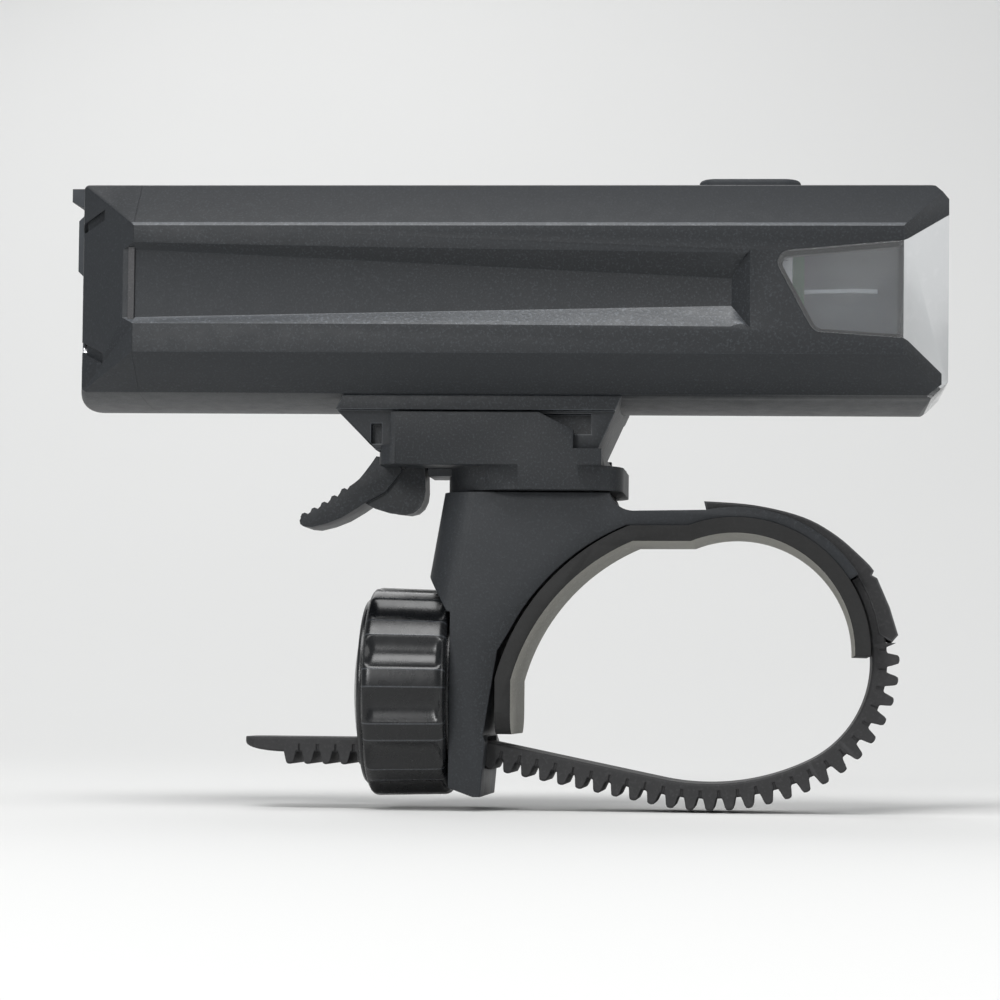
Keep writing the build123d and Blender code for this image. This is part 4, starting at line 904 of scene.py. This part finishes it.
class HEADLIGHT_OT_inner_parts(bpy.types.Operator):
    """Gives the screws, pins, seals, optics, battery and boards their finishes"""

    bl_idname = "headlight.inner_parts"
    bl_label = "Screws, optics and electronics"

    def execute(self, context):
        for material, *nodes in (
            (metal("screw steel", (0.56, 0.56, 0.57), 0.28), "flap_pin", "rear_cap_screws", "shoe_screws",
             "lever_pin", "swivel_screw", "swivel_washer", "swivel_nut", "hub_screw"),
            (metal("sink aluminium", (0.62, 0.63, 0.65), 0.35), "heat_sink"),
            (metal("contact nickel", (0.66, 0.63, 0.56), 0.3), "usb_port", "cell_tabs"),
            (board_laminate(), "led_board", "control_board"),
            (moulded("chip black", (0.01, 0.01, 0.011), 0.4, 0.15 * MM, 0.008 * MM), "board_chips",
             "tact_switch", "switch_plunger"),
            (moulded("emitter phosphor", (0.78, 0.62, 0.12), 0.3, 0.1 * MM, 0.004 * MM, speck=0.1),
             "led_emitter"),
            (moulded("cell wrap", (0.02, 0.13, 0.32), 0.3, 0.5 * MM, 0.006 * MM, speck=0.1), "battery_cell"),
            (moulded("cradle grey", (0.12, 0.12, 0.125), 0.55, 0.3 * MM, 0.01 * MM), "battery_cradle"),
            (moulded("wire jacket", (0.42, 0.02, 0.015), 0.4, 0.3 * MM, 0.004 * MM, speck=0.1), "led_leads"),
            (moulded("seal rubber", (0.05, 0.05, 0.052), 0.7, 0.3 * MM, 0.01 * MM), "rear_gasket",
             "lens_gasket"),
            (knob_plastic(), "hub_sleeve"),
        ):
            for node in nodes:
                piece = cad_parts[node]
                paint(piece, material)
                smooth_shading(piece)
        self.finish_reflector()
        return {"FINISHED"}

    def finish_reflector(self):
        """Chrome in the reflector's bowl, grey plastic on its flat sides, and pale grey on the raised strips
        along them: a painted highlight line.
        """
        chrome, carrier, rib_highlight = 0, 1, 2
        square, rib_from = 0.99, 11.0
        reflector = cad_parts["reflector"]
        # The third finish paints the strips along the sides pale grey so they show as a light line: a painted
        # highlight.
        paint(reflector, metal("reflector chrome", (0.86, 0.87, 0.88), 0.06, streaks=0.0, scale=60.0),
              moulded("reflector carrier", (0.062, 0.07, 0.08), 0.3, 0.5 * MM, 0.01 * MM, speck=0.6,
                      patch=0.5),
              moulded("carrier rib", (0.45, 0.47, 0.5), 0.3, 0.3 * MM, 0.004 * MM, speck=0.2))
        for face in reflector.data.polygons:
            flat = abs(face.normal.y) > square or abs(face.normal.z) > square
            on_rib = abs(face.center.y) / MM > rib_from
            face.material_index = rib_highlight if on_rib else carrier if flat else chrome
        smooth_shading(reflector)


class HEADLIGHT_OT_stage(bpy.types.Operator):
    """Makes the floor, backdrop, lamps and camera"""

    bl_idname = "headlight.stage"
    bl_label = "Studio"

    def execute(self, context):
        studio = settings().studio
        self.make_sweep(studio)
        self.make_lamps(context.scene, studio)
        self.make_camera(context.scene, studio)
        context.scene.view_settings.view_transform = "Standard"
        return {"FINISHED"}

    def make_sweep(self, studio):
        """A pale floor that curves up into a backdrop, in metres."""
        front, depth, height, half, radius, gap = -2.5, 1.3, 1.8, 3.0, 1.0, 0.0003
        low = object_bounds()[0][2] - gap
        bend = depth - radius
        line = [(front, 0.0), (bend, 0.0)]
        line += [(bend + radius * math.sin(turn), radius - radius * math.cos(turn))
                 for turn in quarter_turn(24, 1)]
        line.append((depth, height))
        mesh = bmesh.new()
        left, right = [[mesh.verts.new((side * half, y, low + z)) for y, z in line] for side in (-1, 1)]
        for step in range(len(line) - 1):
            mesh.faces.new((left[step], right[step], right[step + 1], left[step + 1]))
        floor = make_object("floor_sweep", mesh)
        smooth_shading(floor, angle=60)
        paint(floor, floor_paint(studio.floor_colour))
        floor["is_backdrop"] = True

    def make_lamps(self, scene, studio):
        """A broad key from above, two fills, a light from behind and a soft world."""
        for name, place, aim_height, size, watts in (
            ("key_lamp", (-0.15, -0.45, 0.95), 0.02, 0.6, 6.5),
            ("side_lamp", (0.98, -0.12, 0.42), 0.02, 0.6, 2.2),
            ("front_lamp", (-0.35, -0.9, 0.38), 0.02, 0.3, 3.2),
            ("back_lamp", (-0.3, 0.8, 0.8), 0.03, 0.8, 3.0),
        ):
            lamp = bpy.data.lights.new(name, "AREA")
            lamp.shape = "DISK"
            lamp.size = size
            lamp.energy = watts * studio.lamp_strength
            holder = bpy.data.objects.new(name, lamp)
            holder.location = place
            ahead = Vector((0.0, 0.0, aim_height)) - Vector(place)
            holder.rotation_euler = ahead.to_track_quat("-Z", "Y").to_euler()
            scene.collection.objects.link(holder)
        world = bpy.data.worlds.new("studio air")
        world.use_nodes = True
        scene.world = world
        sky = world.node_tree.nodes["Background"]
        sky.inputs["Color"].default_value = (0.95, 0.97, 1.0, 1.0)
        sky.inputs["Strength"].default_value = 0.34 * studio.lamp_strength

    def make_camera(self, scene, studio):
        """The camera, turned by its yaw, pitch and roll from looking along +Y."""
        yaw, pitch, roll = studio.camera_turn
        ahead = Vector((math.sin(yaw) * math.cos(pitch), math.cos(yaw) * math.cos(pitch), math.sin(pitch)))
        right = ahead.cross(Vector((0, 0, 1))).normalized()
        up = right.cross(ahead)
        across = math.cos(roll) * right + math.sin(roll) * up
        upward = -math.sin(roll) * right + math.cos(roll) * up
        camera = bpy.data.cameras.new("camera")
        camera.lens = studio.focal_length
        camera.sensor_width = 36.0
        camera.shift_x, camera.shift_y = studio.camera_shift
        camera.clip_start = 0.01
        camera.dof.use_dof = False
        holder = bpy.data.objects.new("camera", camera)
        turn = Matrix((across, upward, -ahead)).transposed().to_4x4()
        holder.matrix_world = Matrix.Translation(Vector(studio.camera_place)) @ turn
        scene.collection.objects.link(holder)
        scene.camera = holder


class HEADLIGHT_PT_panel(bpy.types.Panel):
    """The headlight's settings and steps"""

    bl_label = "Bike headlight"
    bl_idname = "HEADLIGHT_PT_panel"
    bl_space_type = "VIEW_3D"
    bl_region_type = "UI"
    bl_category = "Headlight"

    def draw(self, context):
        for group in settings():
            box = self.layout.box()
            for name in group.__annotations__:
                box.prop(group, name)
        for operator in OPERATORS:
            self.layout.operator(operator.bl_idname)


GROUPS = (
    ("headlight_finish", FinishSettings),
    ("headlight_knob", KnobSettings),
    ("headlight_strap", StrapSettings),
    ("headlight_studio", StudioSettings),
)
OPERATORS = (
    HEADLIGHT_OT_stage,
    HEADLIGHT_OT_body,
    HEADLIGHT_OT_lens,
    HEADLIGHT_OT_button,
    HEADLIGHT_OT_port_cover,
    HEADLIGHT_OT_bracket,
    HEADLIGHT_OT_clamp,
    HEADLIGHT_OT_strap,
    HEADLIGHT_OT_knob,
    HEADLIGHT_OT_inner_parts,
)


def register():
    """Registers the settings, the operators and the panel."""
    for name, group in GROUPS:
        bpy.utils.register_class(group)
        setattr(bpy.types.Scene, name, bpy.props.PointerProperty(type=group))
    for operator in OPERATORS:
        bpy.utils.register_class(operator)
    bpy.utils.register_class(HEADLIGHT_PT_panel)


def unregister():
    """Takes back all that register added."""
    bpy.utils.unregister_class(HEADLIGHT_PT_panel)
    for operator in reversed(OPERATORS):
        bpy.utils.unregister_class(operator)
    for name, group in reversed(GROUPS):
        delattr(bpy.types.Scene, name)
        bpy.utils.unregister_class(group)


def main():
    """Registers the add-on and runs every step."""
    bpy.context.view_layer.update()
    register()
    for operator in OPERATORS:
        step = operator.bl_idname.split(".")[1]
        getattr(bpy.ops.headlight, step)()


if __name__ == "__main__":
    main()
